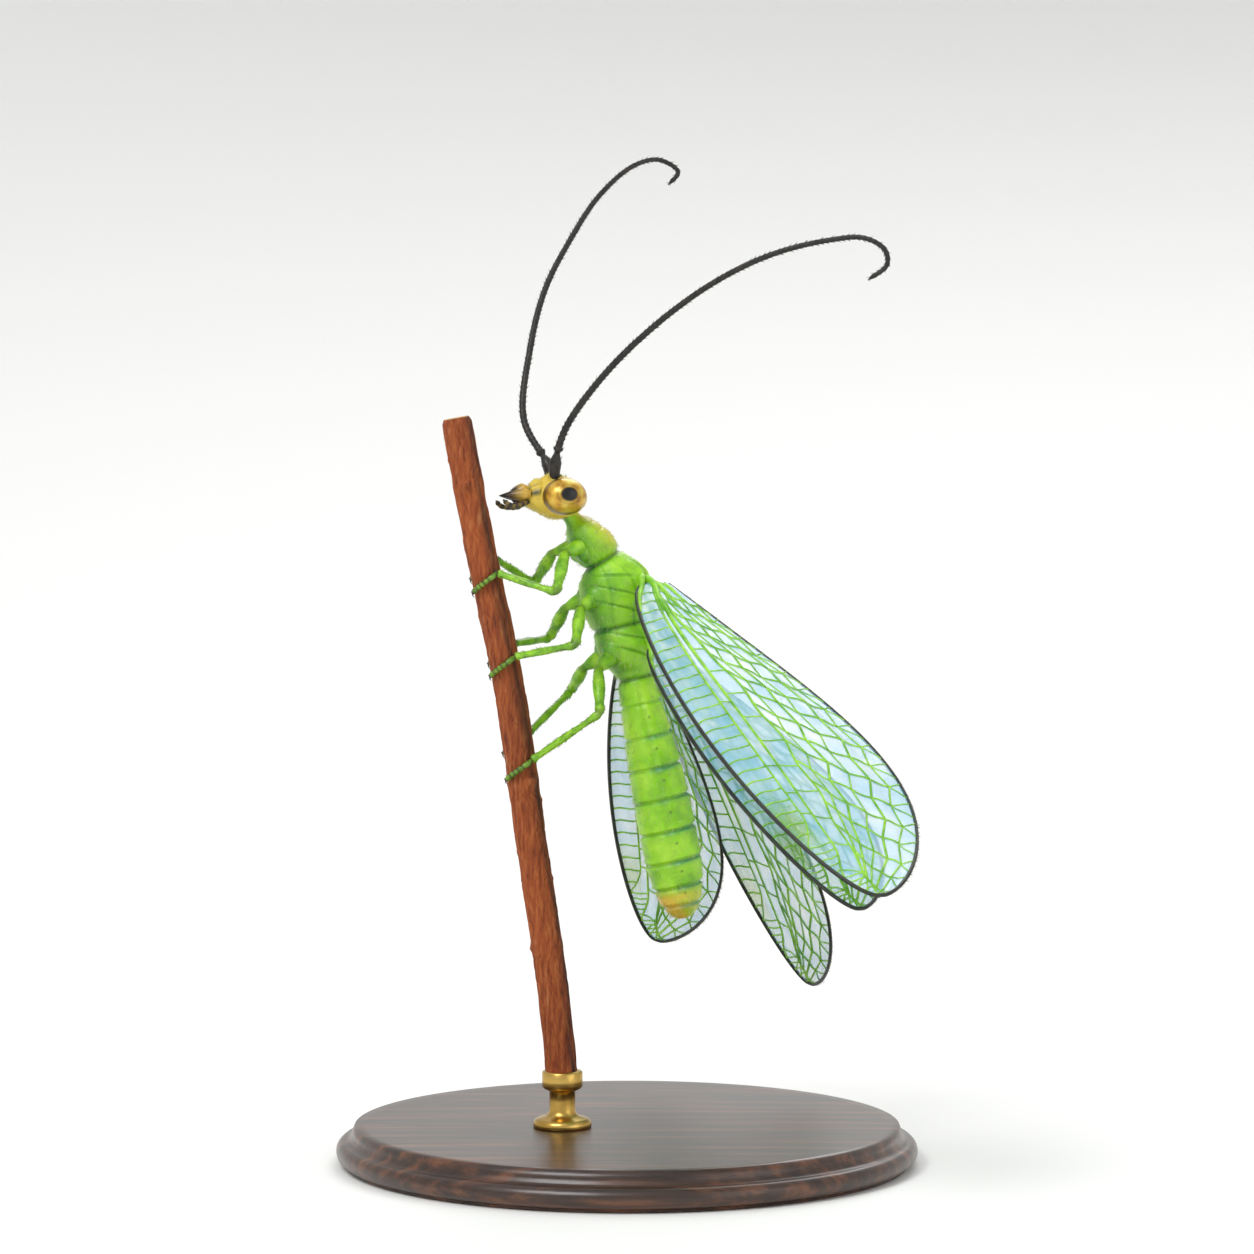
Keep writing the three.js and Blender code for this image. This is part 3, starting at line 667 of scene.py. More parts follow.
def body_marks(x, turn):
    """How far each colour of the body holds, from 0 to 1: bands at the rings, gold on neck, tail and back,
    shade below and in the seams, and dark folds and breathing holes."""
    top, lift = off_back(turn), off_side(turn)
    uneven = ripple(x / 2.1, turn, 11)
    band = sum(bump(x - end + 0.04, 0.085) for end in RING_ENDS[2:-1]) * (0.75 + 0.25 * uneven)
    band = band * np.clip((lift + 40) / 30, 0.25, 1)
    gold = np.clip((x - 1.5) / 0.5, 0, 1) * bump(top, 62) * 0.9
    gold = gold + 0.55 * bump(top, 13 + 4 * uneven) * np.clip((WAIST - x) / 0.5, 0, 1)
    tail = np.clip((-9.3 - x) / 0.35, 0, 1) * np.clip(0.9 + 0.3 * uneven, 0, 1)
    gold = gold + tail * np.clip((60 - lift) / 90, 0.45, 1)
    gold = gold + 0.35 * bump(x - 0.7, 0.5) * bump(top, 26)
    shade = 0.75 * bump(lift + 60, 26) * np.clip((x - WAIST) / 0.5, 0, 1) + 0.1 * bump(lift + 14, 8)
    shade = shade + 0.5 * flank_seams(x, lift) + 0.5 * top_seams(x, top)
    shade = shade + 0.5 * sum(bump(x - at, 0.1) for at in THORAX_FOLDS)
    dark = 0.9 * bump(x - 1.56, 0.035) + 0.7 * bump(x + 0.66, 0.03) + 0.7 * bump(x + 2.44, 0.035)
    holes = 0
    for a, b in zip(RING_ENDS[1:8], RING_ENDS[2:9]):
        holes = holes + bump(np.hypot((x - (a + b) / 2 - 0.1) / 0.04, (lift + 3) / 2.6), 1)
    return {
        "band": np.clip(band, 0, 1) * 0.85,
        "gold": np.clip(gold, 0, 1),
        "shade": np.clip(shade, 0, 1),
        "dark": np.clip(np.clip(dark, 0, 1) * 0.6 + holes * 0.85, 0, 1),
    }


def body_normal(x, turn):
    """Outward direction of the skin: the cross product of its slopes along and round."""
    step = 1e-3
    along = body_point(x + step, turn) - body_point(x - step, turn)
    round_ = body_point(x, turn + step) - body_point(x, turn - step)
    return unit(np.cross(round_, along))


def body_hairs(count):
    """Short hairs strewn over thorax and abdomen, leaning to the tail."""
    rng = np.random.default_rng(RNG_SEED)
    x = rng.uniform(-10.3, 3.0, count)
    turn = rng.uniform(0, 2 * np.pi, count)
    out = body_normal(x, turn)
    aim = out + np.array([-0.9, 0, 0]) + rng.normal(0, 0.12, (count, 3))
    length = rng.uniform(0.08, 0.16, count) * np.where(x > -2, 1.15, 1)
    hairs = carried(bristles(body_point(x, turn) - out * 0.01, unit(aim), length, 0.006), from_body)
    spots = np.stack([turn / (2 * np.pi), (x - TAIL) / (3.5 - TAIL)], axis=1)
    return tubes("body_hairs", [hairs], patches=spots)


# Head

HEAD_MIDDLE = -0.13
HEAD_HALF = 1.1  # half the way from crown to mouth
HEAD_HEIGHTS = (-1.23, -0.95, -0.6, -0.2, 0.2, 0.6, 0.97)
HEAD_WIDE = (0.56, 0.5, 0.55, 0.64, 0.66, 0.62, 0.6)
HEAD_FRONT = (0.6, 0.62, 0.68, 0.8, 0.8, 0.7, 0.66)
HEAD_BACK = (0.42, 0.42, 0.52, 0.66, 0.7, 0.66, 0.6)
EYE_PLACE = (0.04, 0.62, 0.14)
EYE_SIZE = (0.6, 0.62, 0.72)
EYE_LOOK = (0.12, 1, 0.02)  # outwards and a little to the front
SOCKET = np.array([0.7, 0.36, -0.1])
SOCKET_RADIUS = 0.2
CROWN_SWELL = (0.1, 0, 0.95)
EYE_CLEAR = (0.66, 0.62, 0.78)  # no hair grows within this far of an eye's middle
JAW_PALP = [
    (-0.1, 0.4, -1.0),
    (-0.2, 0.54, -1.25),
    (-0.27, 0.6, -1.5),
    (-0.2, 0.58, -1.72),
    (-0.04, 0.48, -1.88),
]
LIP_PALP = [(-0.16, 0.2, -1.08), (-0.3, 0.28, -1.35), (-0.27, 0.26, -1.62)]


def head_point(polar, turn):
    """The head capsule: an egg with its long axis from crown to mouth, blunt at the mouth, flat behind,
    raised by a sum of soft hills and furrows: the crown, the feeler sockets, the seams of the face."""
    z = HEAD_MIDDLE + HEAD_HALF * np.cos(polar)
    s = np.sin(polar) ** 0.86
    wide, front, back = (through(z, HEAD_HEIGHTS, v) for v in (HEAD_WIDE, HEAD_FRONT, HEAD_BACK))
    c, w = np.cos(turn), np.sin(turn)
    deep = np.where(c > 0, front, back)
    x, y = deep * c * s, wide * w * s
    rise = (z - HEAD_MIDDLE) / HEAD_HALF**2 / np.maximum(s, 0.3)
    out = unit(np.stack([c / deep, w / wide, rise], axis=-1))
    spot = np.stack([x, np.abs(y), z], axis=-1)
    ring = np.linalg.norm(spot - SOCKET, axis=-1)
    face = np.clip(c * 2, 0, 1)
    h = 0.07 * bump(ring - SOCKET_RADIUS, 0.055) - 0.05 * bump(ring, 0.12)
    h = h - 0.045 * bump(z + 0.52 + 0.25 * y * y, 0.035) * face  # between forehead and face shield
    h = h - 0.045 * bump(z + 0.92, 0.035) * face  # over the lip
    h = h + 0.05 * bump(z + 0.7, 0.16) * bump(y, 0.3) * face  # the swollen face shield
    h = h - 0.04 * bump(np.abs(y) - 0.3 - 0.12 * (z + 0.9), 0.04) * bump(z + 0.75, 0.3) * face
    h = h + 0.07 * bump(np.linalg.norm(spot - CROWN_SWELL, axis=-1), 0.42)
    h = h - 0.05 * bump(y, 0.035) * bump(z - 0.8, 0.3) * np.clip(c + 0.8, 0, 1)  # middle seam of the crown
    h = h - 0.05 * bump(np.abs(y) - 0.3, 0.04) * bump(z - 0.75, 0.25)
    h = h + 0.006 * ripple(polar, turn, 5)
    return np.stack([x, y, z], axis=-1) + out * h[..., None]


def head_marks(polar, turn):
    """How far each colour of the head holds: gold all over, with dark stripes from eye to mouth, dark seams
    and a dark ring round each feeler."""
    spot = head_point(polar, turn)
    spot[..., 1] = np.abs(spot[..., 1])
    y, z = spot[..., 1], spot[..., 2]
    c = np.cos(turn)
    ring = np.linalg.norm(spot - SOCKET, axis=-1)
    dark = 0.95 * bump(c - 0.32, 0.2) * bump(z + 0.78, 0.27)
    dark = dark + 0.5 * bump(c - 0.78, 0.05) * bump(z + 0.78, 0.2)
    dark = dark + 0.8 * bump(z + 1.2, 0.12) + 0.5 * bump(ring - SOCKET_RADIUS, 0.04)
    dark = dark + 0.35 * bump(y, 0.025) * bump(z - 0.8, 0.3)
    dark = dark + 0.5 * bump(z + 0.92, 0.03) * np.clip(c * 2, 0, 1)
    return {
        "gold": np.full(z.shape, 0.92),
        "band": 0 * z,
        "shade": 0.35 * bump(c + 1, 0.6),
        "dark": np.clip(dark, 0, 1),
    }


def eye_grid(side, rows=90, around=128):
    """An egg-shaped eye: the pole of the grid points outwards, and the dark middle is a disc of 27 degrees
    round the way it looks."""
    polar = np.linspace(0.004, np.pi - 0.004, rows)[:, None]
    turn = circle(around)[None]
    a, b, c = EYE_SIZE
    x = a * np.sin(polar) * np.cos(turn)
    y = side * b * np.cos(polar) + 0 * turn
    z = c * np.sin(polar) * np.sin(turn)
    grid = np.stack([x, y, z], axis=-1)
    look = unit(np.array(EYE_LOOK) * (1, side, 1))
    angle = np.degrees(np.arccos(np.clip(unit(grid / EYE_SIZE) @ look, -1, 1)))
    pupil = np.clip((27 - angle) / 7, 0, 1)
    rim = np.clip((angle - 62) / 14, 0, 1) * 0.8 + 0.35 * bump(angle - 31, 4)
    return grid + np.array(EYE_PLACE) * (1, side, 1), {"pupil": pupil, "rim": np.clip(rim, 0, 1)}


def eye_rims():
    """The raised rim of head skin round each eye: a slender ring where the eye leaves the head."""
    count, around = 120, 10
    turn = np.linspace(0, 2 * np.pi, count)
    rings = []
    for side in (-1, 1):
        x = EYE_PLACE[0] + 0.985 * EYE_SIZE[0] * np.cos(turn)
        y = side * (EYE_PLACE[1] - 0.14 - 0.05 * np.cos(turn))
        z = EYE_PLACE[2] + 0.985 * EYE_SIZE[2] * np.sin(turn)
        rings.append(from_head(np.stack([x, y, z], axis=1)))
    gold = tube_mark(np.full(count, 0.95), around)
    marks = {"gold": np.r_[gold, gold], "shade": np.zeros(2 * len(gold))}
    group = (np.array(rings), np.full((2, count), 0.045), around, tuple(LEFTWARD))
    return tubes("eye_rims", [group], marks)


def head_hairs():
    """Short sparse hairs on crown, forehead and face, clear of the eyes."""
    rng = np.random.default_rng(RNG_SEED + 80)
    polar, turn = np.arccos(rng.uniform(-0.93, 0.97, 560)), rng.uniform(0, 2 * np.pi, 560)
    roots = head_point(polar, turn)
    off_eye = np.stack([roots[:, 0], np.abs(roots[:, 1]), roots[:, 2]], axis=1) - EYE_PLACE
    clear = ((off_eye / EYE_CLEAR) ** 2).sum(-1) > 1.05
    clear = clear & (roots[:, 2] > -1.0)
    roots, polar, turn = roots[clear], polar[clear], turn[clear]
    out = unit(roots - np.array([0, 0, HEAD_MIDDLE]))
    aim = unit(out + np.array([0.2, 0, -0.5]) + rng.normal(0, 0.15, out.shape))
    hairs = bristles(roots - out * 0.01, aim, rng.uniform(0.07, 0.14, len(roots)), 0.006)
    spots = np.stack([turn / (2 * np.pi), polar / np.pi], axis=1)
    return tubes("head_hairs", [carried(hairs, from_head)], patches=spots)


def jaws():
    """Upper lip, lower lip and two hooked jaws: curved tapering tubes that grow out of the face. Each
    thins as a power of its length."""
    t = np.linspace(0, 1, 26)
    grow = np.clip(0.55 + 2.4 * t, 0, 1)
    groups = []
    for x0, x1, thick, low in ((0.3, 0.1, 0.25, -1.6), (-0.1, 0.0, 0.2, -1.5)):
        for y in (-0.12, 0, 0.12):
            lip = np.stack([x0 + (x1 - x0) * t, y * (1 - t**2), -0.95 + (low + 0.95) * t], axis=1)
            groups.append((from_head(lip)[None], (thick * grow * (1 - 0.85 * t**2.2))[None], 16, (0, 0, 1)))
    for side in (-1, 1):
        jaw = np.stack([0.12 - 0.03 * t, side * (0.3 - 0.28 * t**2.2), -0.92 - 0.96 * t], axis=1)
        groups.append((from_head(jaw)[None], (0.21 * grow * (1 - t**1.7) + 0.012)[None], 14, (0, 0, 1)))
    pale = np.clip(1.5 - 2.4 * t, 0, 1)
    marks = [tube_mark(pale, around) for _, _, around, _ in groups]
    return tubes("jaws", groups, {"pale": np.concatenate(marks)})


def palps(name, side):
    """A jaw palp of five joints and a lip palp of three, each a barrel that narrows at its joints."""
    count, around = 90, 12
    share = np.linspace(0, 1, count)
    groups, marks = [], []
    for points, joints, size in ((JAW_PALP, 5, 0.088), (LIP_PALP, 3, 0.075)):
        line = lane(from_head(np.array(points) * (1, side, 1)), count)
        barrels = np.abs(np.sin(np.pi * share * joints)) ** 0.5
        radius = size * (0.7 + 0.3 * barrels) * np.clip((1.02 - share) * 7, 0.12, 1)
        groups.append((line[None], radius[None], around, (0.2, 1, 0.1)))
        marks.append(tube_mark(0.5 * (1 - barrels), around))
    return tubes(f"palps_{name}", groups, {"pale": np.concatenate(marks)})


# Feelers

FEELER_ROUTES = {
    "left": [
        (-2.0, -1.0, 23.93),
        (-0.87, -1.5, 25.55),
        (0.73, -2.2, 27.15),
        (2.63, -3.0, 28.57),
        (4.51, -3.9, 29.5),
        (6.37, -4.6, 29.96),
        (7.44, -5.0, 30.01),
        (8.06, -5.15, 29.64),
        (8.12, -5.2, 29.17),
        (7.53, -5.2, 28.7),
    ],
    "right": [
        (-3.36, 0.95, 24.22),
        (-3.19, 2.2, 26.5),
        (-2.72, 3.6, 28.48),
        (-1.9, 5.0, 30.16),
        (-0.91, 6.3, 31.7),
        (0.27, 7.4, 32.74),
        (1.12, 7.9, 32.93),
        (1.74, 8.15, 32.53),
        (1.4, 8.2, 32.09),
    ],
}
FEELER_RINGS = 92
RING_STEPS = 7  # rows of points, and hairs, to a ring


def feeler(name, side):
    """A feeler: a stout first joint, a short second, and a whip of barrel rings that narrow to the tip."""
    inside = from_head([0.5, side * 0.34, -0.1])
    socket = from_head([1.02, side * 0.4, -0.12])
    route = lane([inside, socket, *FEELER_ROUTES[name]], FEELER_RINGS * RING_STEPS + 1)
    share = np.linspace(0, 1, len(route))
    at = share * line_length(route)
    rings = 0.84 + 0.16 * np.abs(np.sin(np.pi * share * FEELER_RINGS)) ** 0.5
    whip = (0.125 - 0.045 * share) * np.where(at > 1.3, rings, 1) * np.clip((at - 0.2) * 3, 0.5, 1)
    first_joint = 0.2 * bump(at - 0.6, np.where(at < 0.6, 0.85, 0.42))
    second_joint = 0.165 * bump(at - 1.13, 0.13)
    radius = np.maximum(whip, np.maximum(first_joint, second_joint))
    radius = radius * (1 - 0.3 * bump(at - 0.99, 0.05)) * np.clip((1 - share) * 90, 0.25, 1)
    rng = np.random.default_rng(RNG_SEED + side)
    tangent = unit(np.gradient(route, axis=0))
    spots = np.repeat(np.arange(2 * RING_STEPS, len(route) - 2, RING_STEPS) + 3, RING_STEPS)
    out = square_to(tangent[spots], rng.uniform(0, 2 * np.pi, len(spots)), HAIR_SIDE_SEED)
    roots = route[spots] + out * radius[spots, None] * 0.9
    hairs = bristles(roots, out * 0.65 + tangent[spots], rng.uniform(0.09, 0.15, len(spots)), 0.008)
    return tubes(f"feeler_{name}", [(route[None], radius[None], 14, (0.3, 1, 0.2)), hairs])


# Legs

TWIG_DEPTH = -0.95
TWIG_POINTS = [
    (-2.1, 2.9),
    (-2.46, 6.26),
    (-3.06, 10.34),
    (-3.62, 14.4),
    (-3.96, 16.43),
    (-4.8, 20.47),
    (-5.5, 24.3),
]
TWIG_RADIUS = 0.5
SHADE_SIDE = 4.3  # angle round the twig of its painted shade, a dark streak on the side turned from the key lamp
TWIG_ROUTE = [(x, TWIG_DEPTH, z) for x, z in TWIG_POINTS]
TWIG_LINE = lane(TWIG_ROUTE, 400)
LEGS = {  # root, hip and knee in the insect's own frame, and how high on the twig the foot lies
    "front_left": ((2.22, 0.12, -0.35), (2.1, 0.75, -1.5), (1.0, 1.75, -2.35), 19.35),
    "middle_left": ((0.62, 0.1, -0.3), (0.25, 0.95, -1.5), (-0.78, 1.95, -2.2), 16.65),
    "hind_left": ((-1.3, 0.1, -0.3), (-1.8, 0.9, -1.4), (-3.1, 1.9, -1.95), 13.3),
    "front_right": ((2.22, -0.12, -0.35), (2.15, -0.75, -1.5), (1.3, -1.8, -2.1), 19.75),
    "middle_right": ((0.62, -0.1, -0.3), (0.3, -0.95, -1.5), (-0.6, -2.05, -2.0), 17.0),
    "hind_right": ((-1.3, -0.1, -0.3), (-1.75, -0.9, -1.4), (-2.45, -2.0, -1.75), 14.1),
}
FOOT_REACH = 0.13  # from the twig's skin to the middle of the foot
FOOT_TURN = (52, 142)  # degrees round the twig
FOOT_DROP = 0.62
TOE_ENDS = np.array([0, 0.34, 0.5, 0.64, 0.78, 1.0])  # the five foot joints, by share of the foot
LEG_ROWS = 420
LEG_HAIRS = 460


def twig_middle(high):
    """Points of the twig's axis at the given heights."""
    return np.stack([np.interp(high, TWIG_LINE[:, 2], TWIG_LINE[:, k]) for k in range(3)], axis=-1)


def foot_points(side, grip, count=16):
    """The foot's line: an arc round the twig that starts at its near face and sinks a little."""
    share = np.linspace(0, 1, count)
    turn = np.radians(FOOT_TURN[0] + (FOOT_TURN[1] - FOOT_TURN[0]) * share)
    reach = TWIG_RADIUS + FOOT_REACH
    arc = np.stack([reach * np.cos(turn), -side * reach * np.sin(turn), 0 * turn], axis=1)
    return twig_middle(grip - FOOT_DROP * share) + arc


def leg_radius(at, hip, knee, ankle, toes):
    """Radius along a leg, by length: a smooth curve through hip, thigh and shin, then a barrel that widens
    a little for each foot joint."""
    thigh, shin = knee - hip, ankle - knee
    knots = [
        (0, 0.3),
        (hip * 0.5, 0.28),
        (hip - 0.28, 0.205),
        (hip - 0.04, 0.14),
        (hip + 0.14, 0.165),
        (hip + thigh * 0.42, 0.205),
        (knee - 0.3, 0.15),
        (knee - 0.1, 0.165),
        (knee, 0.115),
        (knee + 0.12, 0.145),
        (knee + 0.35, 0.115),
        (knee + shin * 0.55, 0.125),
        (ankle - 0.2, 0.115),
        (ankle - 0.05, 0.125),
        (ankle, 0.075),
    ]
    radius = through(at, *zip(*knots))
    for a, b in zip(toes[:-1], toes[1:]):
        t = (at - a) / (b - a)
        barrel = 0.066 + 0.016 * np.sin(np.pi * np.clip(t, 0, 1) ** 1.2) + 0.014 * t
        radius = np.where((t > 0) & (t <= 1), barrel, radius)
    return np.where(at > toes[-1] - 0.02, 0.05, radius)


def leg(name):
    """A leg: hip, thigh, shin and five foot joints as one tapering tube with a notch at each joint, then
    two hooked claws with a pad between them, and two straight spurs over the ankle."""
    root, hip, knee, grip = LEGS[name]
    bends = from_body([root, hip, knee])
    foot = foot_points(1 if name.endswith("left") else -1, grip)
    lengths = np.linalg.norm(np.diff(np.vstack([bends, foot[:1]]), axis=0), axis=1)
    hip_at, knee_at, ankle = np.cumsum(lengths)
    foot_length = line_length(foot)
    line = softened(np.vstack([bends, foot]), 0.11, LEG_ROWS)
    at = np.linspace(0, ankle + foot_length, LEG_ROWS)
    toes = ankle + foot_length * TOE_ENDS
    radius = leg_radius(at, hip_at, knee_at, ankle, toes)
    tangent = unit(np.gradient(line, axis=0))
    onward, inward = tangent[-1], unit(twig_middle(line[-1, 2]) - line[-1])
    over_ankle = int(np.searchsorted(at, ankle - 0.08))
    t = np.linspace(0, 1, 9)[:, None]
    claws, spurs = [], []
    for spread in (-1, 1):
        sideways = unit(np.cross(onward, inward)) * spread
        hook = inward * 0.13 * (t**2) - inward * 0.05 * np.sin(np.pi * t)
        claws.append(line[-1] - onward * 0.03 + onward * 0.24 * t + sideways * 0.1 * t + hook)
        spurs.append(line[over_ankle] + (tangent[over_ankle] * 0.22 + sideways * 0.12 + inward * 0.05) * t)
    claw_size = np.broadcast_to(0.045 * (1 - np.linspace(0, 0.94, 9)), (2, 9))
    spur_size = np.broadcast_to(0.03 * (1 - np.linspace(0, 0.9, 9)), (2, 9))
    pad = line[-1] + onward * np.linspace(-0.04, 0.12, 7)[:, None] + inward * 0.02
    pad_size = 0.055 * np.sqrt(np.clip(1 - np.linspace(-0.9, 0.95, 7) ** 2, 0.05, 1))
    groups = [
        (line[None], radius[None], 16, (0.2, 1, 0.3)),
        (np.array(claws), claw_size, 8, tuple(onward + inward * 2)),
        (pad[None], pad_size[None], 10, tuple(inward)),
        (np.array(spurs), spur_size, 6, tuple(inward)),
    ]
    bend_dusk = 0.55 * bump(at - knee_at, 0.1) + 0.4 * bump(at - hip_at, 0.1)
    dusk = np.clip((at - ankle + 0.15) / 0.3, 0, 0.5) + bend_dusk
    dusk = np.clip(dusk + 0.5 * sum(bump(at - toe, 0.03) for toe in toes), 0, 1)
    marks = {"dusk": [], "claw": []}
    for (paths, _, around, _), brown in zip(groups, (0, 1, 0, 1)):  # claws and spurs are brown
        count, rows = paths.shape[:2]
        tint = dusk if rows == LEG_ROWS else np.full(rows, 0.9)
        marks["dusk"] += [tube_mark(tint, around)] * count
        marks["claw"] += [tube_mark(np.full(rows, float(brown)), around)] * count
    piece = tubes(f"leg_{name}", groups, {key: np.concatenate(v) for key, v in marks.items()})
    return piece, (line, radius, tangent, hip_at / at[-1])


def leg_hairs(legs):
    """Short bristles that lie back along the thighs, shins and feet, clear of the twig."""
    groups, places = [], []
    for k, (line, radius, tangent, hip_share) in enumerate(legs):
        rng = np.random.default_rng(RNG_SEED + 20 + k)
        spots = rng.integers(int(len(line) * hip_share), len(line) - 6, LEG_HAIRS)
        turn = rng.uniform(0, 2 * np.pi, len(spots))
        out = square_to(tangent[spots], turn, (0.2, 1, 0.3))
        toward = unit(TWIG_LINE[len(TWIG_LINE) // 2] - line[spots])
        length = rng.uniform(0.07, 0.15, len(spots))
        roots = line[spots] + out * radius[spots, None] * 0.92
        keep = (out * toward).sum(-1) < 0.75
        groups.append(bristles(roots[keep], (out + tangent[spots] * 1.5)[keep], length[keep], 0.0065))
        places.append(np.stack([spots / len(line), (k + turn / (2 * np.pi)) / len(legs)], axis=1)[keep])
    return tubes("leg_hairs", groups, patches=np.vstack(places))


# Wings

FORE = {"length": 16.5, "lead": 0.13, "trail": 0.215, "crossings": 25, "branches": 12}
HIND = {"length": 14.2, "lead": 0.105, "trail": 0.19, "crossings": 20, "branches": 10}
WINGS = {  # kind, side, root, then sweep, rise and twist in degrees
    "forewing_left": (FORE, 1, (0.6, 1.05, 1.05), 37.5, 3, 73),
    "forewing_right": (FORE, -1, (0.6, 1.05, 1.05), 69.8, 14, 50),
    "hindwing_left": (HIND, 1, (-1.45, 1.02, 0.7), 36.5, 4, 72),
    "hindwing_right": (HIND, -1, (-1.45, 1.02, 0.7), 48.5, 2, 44.2),
}
TIP = 0.998  # the last place along a blade that still has some width
STEM = 0.25  # from the root to where the blade starts
FILM_HALF = 0.014  # half the thickness of the membrane
LONG_VEIN_STEPS = 90
SHORT_VEIN_STEPS = 8
HIND_CORNER = 0.955  # place of the first branch's end along the rim
STEP_LEVELS = np.array([0, 0.17, 0.34, 0.52, 0.69, 0.85])  # where steps join the branches
STEP_STAGGER = 0.028
FORK_REACH = 0.0105  # half the way along the rim between the two ends of a fork
LONG_VEIN_ENDS = {"sub": (0.86, 0.0), "radius": (0.95, 0.0), "sector": (0.985, 0.4)}  # s and r
VEIN_HAIRS = 700
FRINGE_HAIRS = 520
STEMS = (  # r at the root and further out, thickness, shift along the body
    (0.1, 0.02, 0.12, 0.14),
    (0.46, 0.35, 0.15, 0.05),
    (0.6, 0.6, 0.11, -0.05),
    (0.8, 0.84, 0.09, -0.16),
)


def wing_axes(name):
    """A wing's root, its long direction, the direction of its leading edge, and its upper face's normal,
    turned by the sines and cosines of its sweep, rise and twist."""
    _, side, root, sweep, rise, twist = WINGS[name]
    a, b, c = np.radians([sweep, rise, twist])
    along = np.array([-np.sin(a) * np.cos(b), side * np.cos(a) * np.cos(b), np.sin(b)])
    flat = unit(np.array([1.0, 0, 0]) - along * along[0])
    above = np.cross(along, flat) * -side
    lead = flat * np.cos(c) - above * np.sin(c)
    normal = flat * np.sin(c) + above * np.cos(c)
    return np.array([root[0], side * root[1], root[2]]) + along * STEM, along, lead, normal


def blade(kind, s):
    """Half widths of a blade in front of and behind its axis, as shares of its length:
    lead * sin(pi s)^0.5 and trail * sin(pi s^1.45)^0.65, with a short stalk at the root."""
    front = kind["lead"] * np.sin(np.pi * s) ** 0.5 + 0.02 * (1 - s) ** 6
    return front, kind["trail"] * np.sin(np.pi * s**1.45) ** 0.65 + 0.03 * (1 - s) ** 6


def wing_point(name, s, r, height=0.0):
    """A point of the wing: s from root to tip, r from front edge to hind edge, height along its normal.
    The blade arches as a parabola across and is finely pleated by a sine wave of five and a half turns."""
    kind = WINGS[name][0]
    start, along, lead, normal = wing_axes(name)
    s, r, height = np.broadcast_arrays(np.clip(s, 0, 0.999), r, height)
    front, hind = blade(kind, s)
    arch = 0.35 * np.sin(np.pi * np.minimum(1, s * 1.1)) * (1 - (2 * r - 1) ** 2)
    pleat = 0.035 * np.sin(r * 2 * np.pi * 5.5) * np.sin(np.pi * s) ** 0.5
    outward = along * (s * kind["length"])[..., None]
    forward = lead * (kind["length"] * (front - r * (front + hind)))[..., None]
    return from_body(start + outward + forward + normal * (arch + pleat + height)[..., None])


def wing_film(name, rows=150, across=56):
    """The membrane: a closed blade a few hundredths of a millimetre thick, thinned evenly to its rim."""
    s = 0.999 * (1 - (1 - np.linspace(0, 1, rows)) ** 1.35)[:, None]
    r = (0.5 - 0.5 * np.cos(np.linspace(0, np.pi, across)))[None]
    rim = np.minimum(1, 12 * np.minimum(r, 1 - r) + 0.25)
    top = wing_point(name, s, r, FILM_HALF * rim)
    under = wing_point(name, s, r[:, ::-1], -FILM_HALF * rim[:, ::-1])
    spot = bump(s - 0.79, 0.075) * np.clip((0.2 - r) / 0.05, 0, 1)
    marks = {"spot": np.hstack([spot, spot[:, ::-1]])}
    return rounded(f"{name}_film", np.concatenate([top, under], axis=1), marks)


def flat_spot(kind, s, r):
    """A place of the wing on its flat blade: s along, and the way in front of the axis, in wing lengths."""
    front, hind = blade(kind, s)
    return np.stack([s + 0 * r, front - r * (front + hind)], axis=-1)


def wing_spot(kind, spots):
    """The s and r of spots of the flat blade, the opposite of flat_spot."""
    s = np.clip(spots[..., 0], 0, TIP)
    front, hind = blade(kind, s)
    return np.stack([s, np.clip((front - spots[..., 1]) / (front + hind), 0, 1)], axis=-1)


def rung(kind, a, b, bow=0.0):
    """A line between two spots of the flat blade, straight or bowed by half a sine wave."""
    t = np.linspace(0, 1, SHORT_VEIN_STEPS)[:, None]
    way = b - a
    return wing_spot(kind, a + way * t + np.array([-way[1], way[0]]) * bow * np.sin(np.pi * t))


def blade_rim(kind):
    """The rim of the flat blade as one line from the front root over the tip to the hind root, with the
    share of its length run at each point."""
    s = TIP * (1 - (1 - np.linspace(0, 1, 200)) ** 2)
    rim = np.vstack([flat_spot(kind, s, 0 * s), flat_spot(kind, s, 0 * s + 1)[::-1]])
    run = np.r_[0, np.cumsum(np.linalg.norm(np.diff(rim, axis=0), axis=1))]
    return rim, run / run[-1]


def long_vein(kind, key, q):
    """The r of a long vein at q: its lane, which bends as a square to the rim or the tip at its end. The
    third one runs in a fine sine wave."""
    s = np.linspace(0, 1, LONG_VEIN_STEPS)
    root_bend = (1 - s) ** 9
    lanes = {"sub": 0.24 - 0.07 * s + 0.2 * root_bend, "radius": 0.33 - 0.1 * s + 0.16 * root_bend}
    lanes["sector"] = lanes["radius"] + 0.13 * np.clip((s - 0.03) / 0.3, 0, 1) ** 0.7
    end, goal = LONG_VEIN_ENDS[key]
    bend = np.clip((q - end + 0.1) / 0.1, 0, 1) ** 2
    zig = 0.0
    if key == "sector":
        zig = 0.012 * np.sin(q * np.pi * kind["branches"]) * np.clip(q * 5, 0, 1)
    return np.interp(q, s, lanes[key]) * (1 - bend) + goal * bend + zig * (1 - bend)


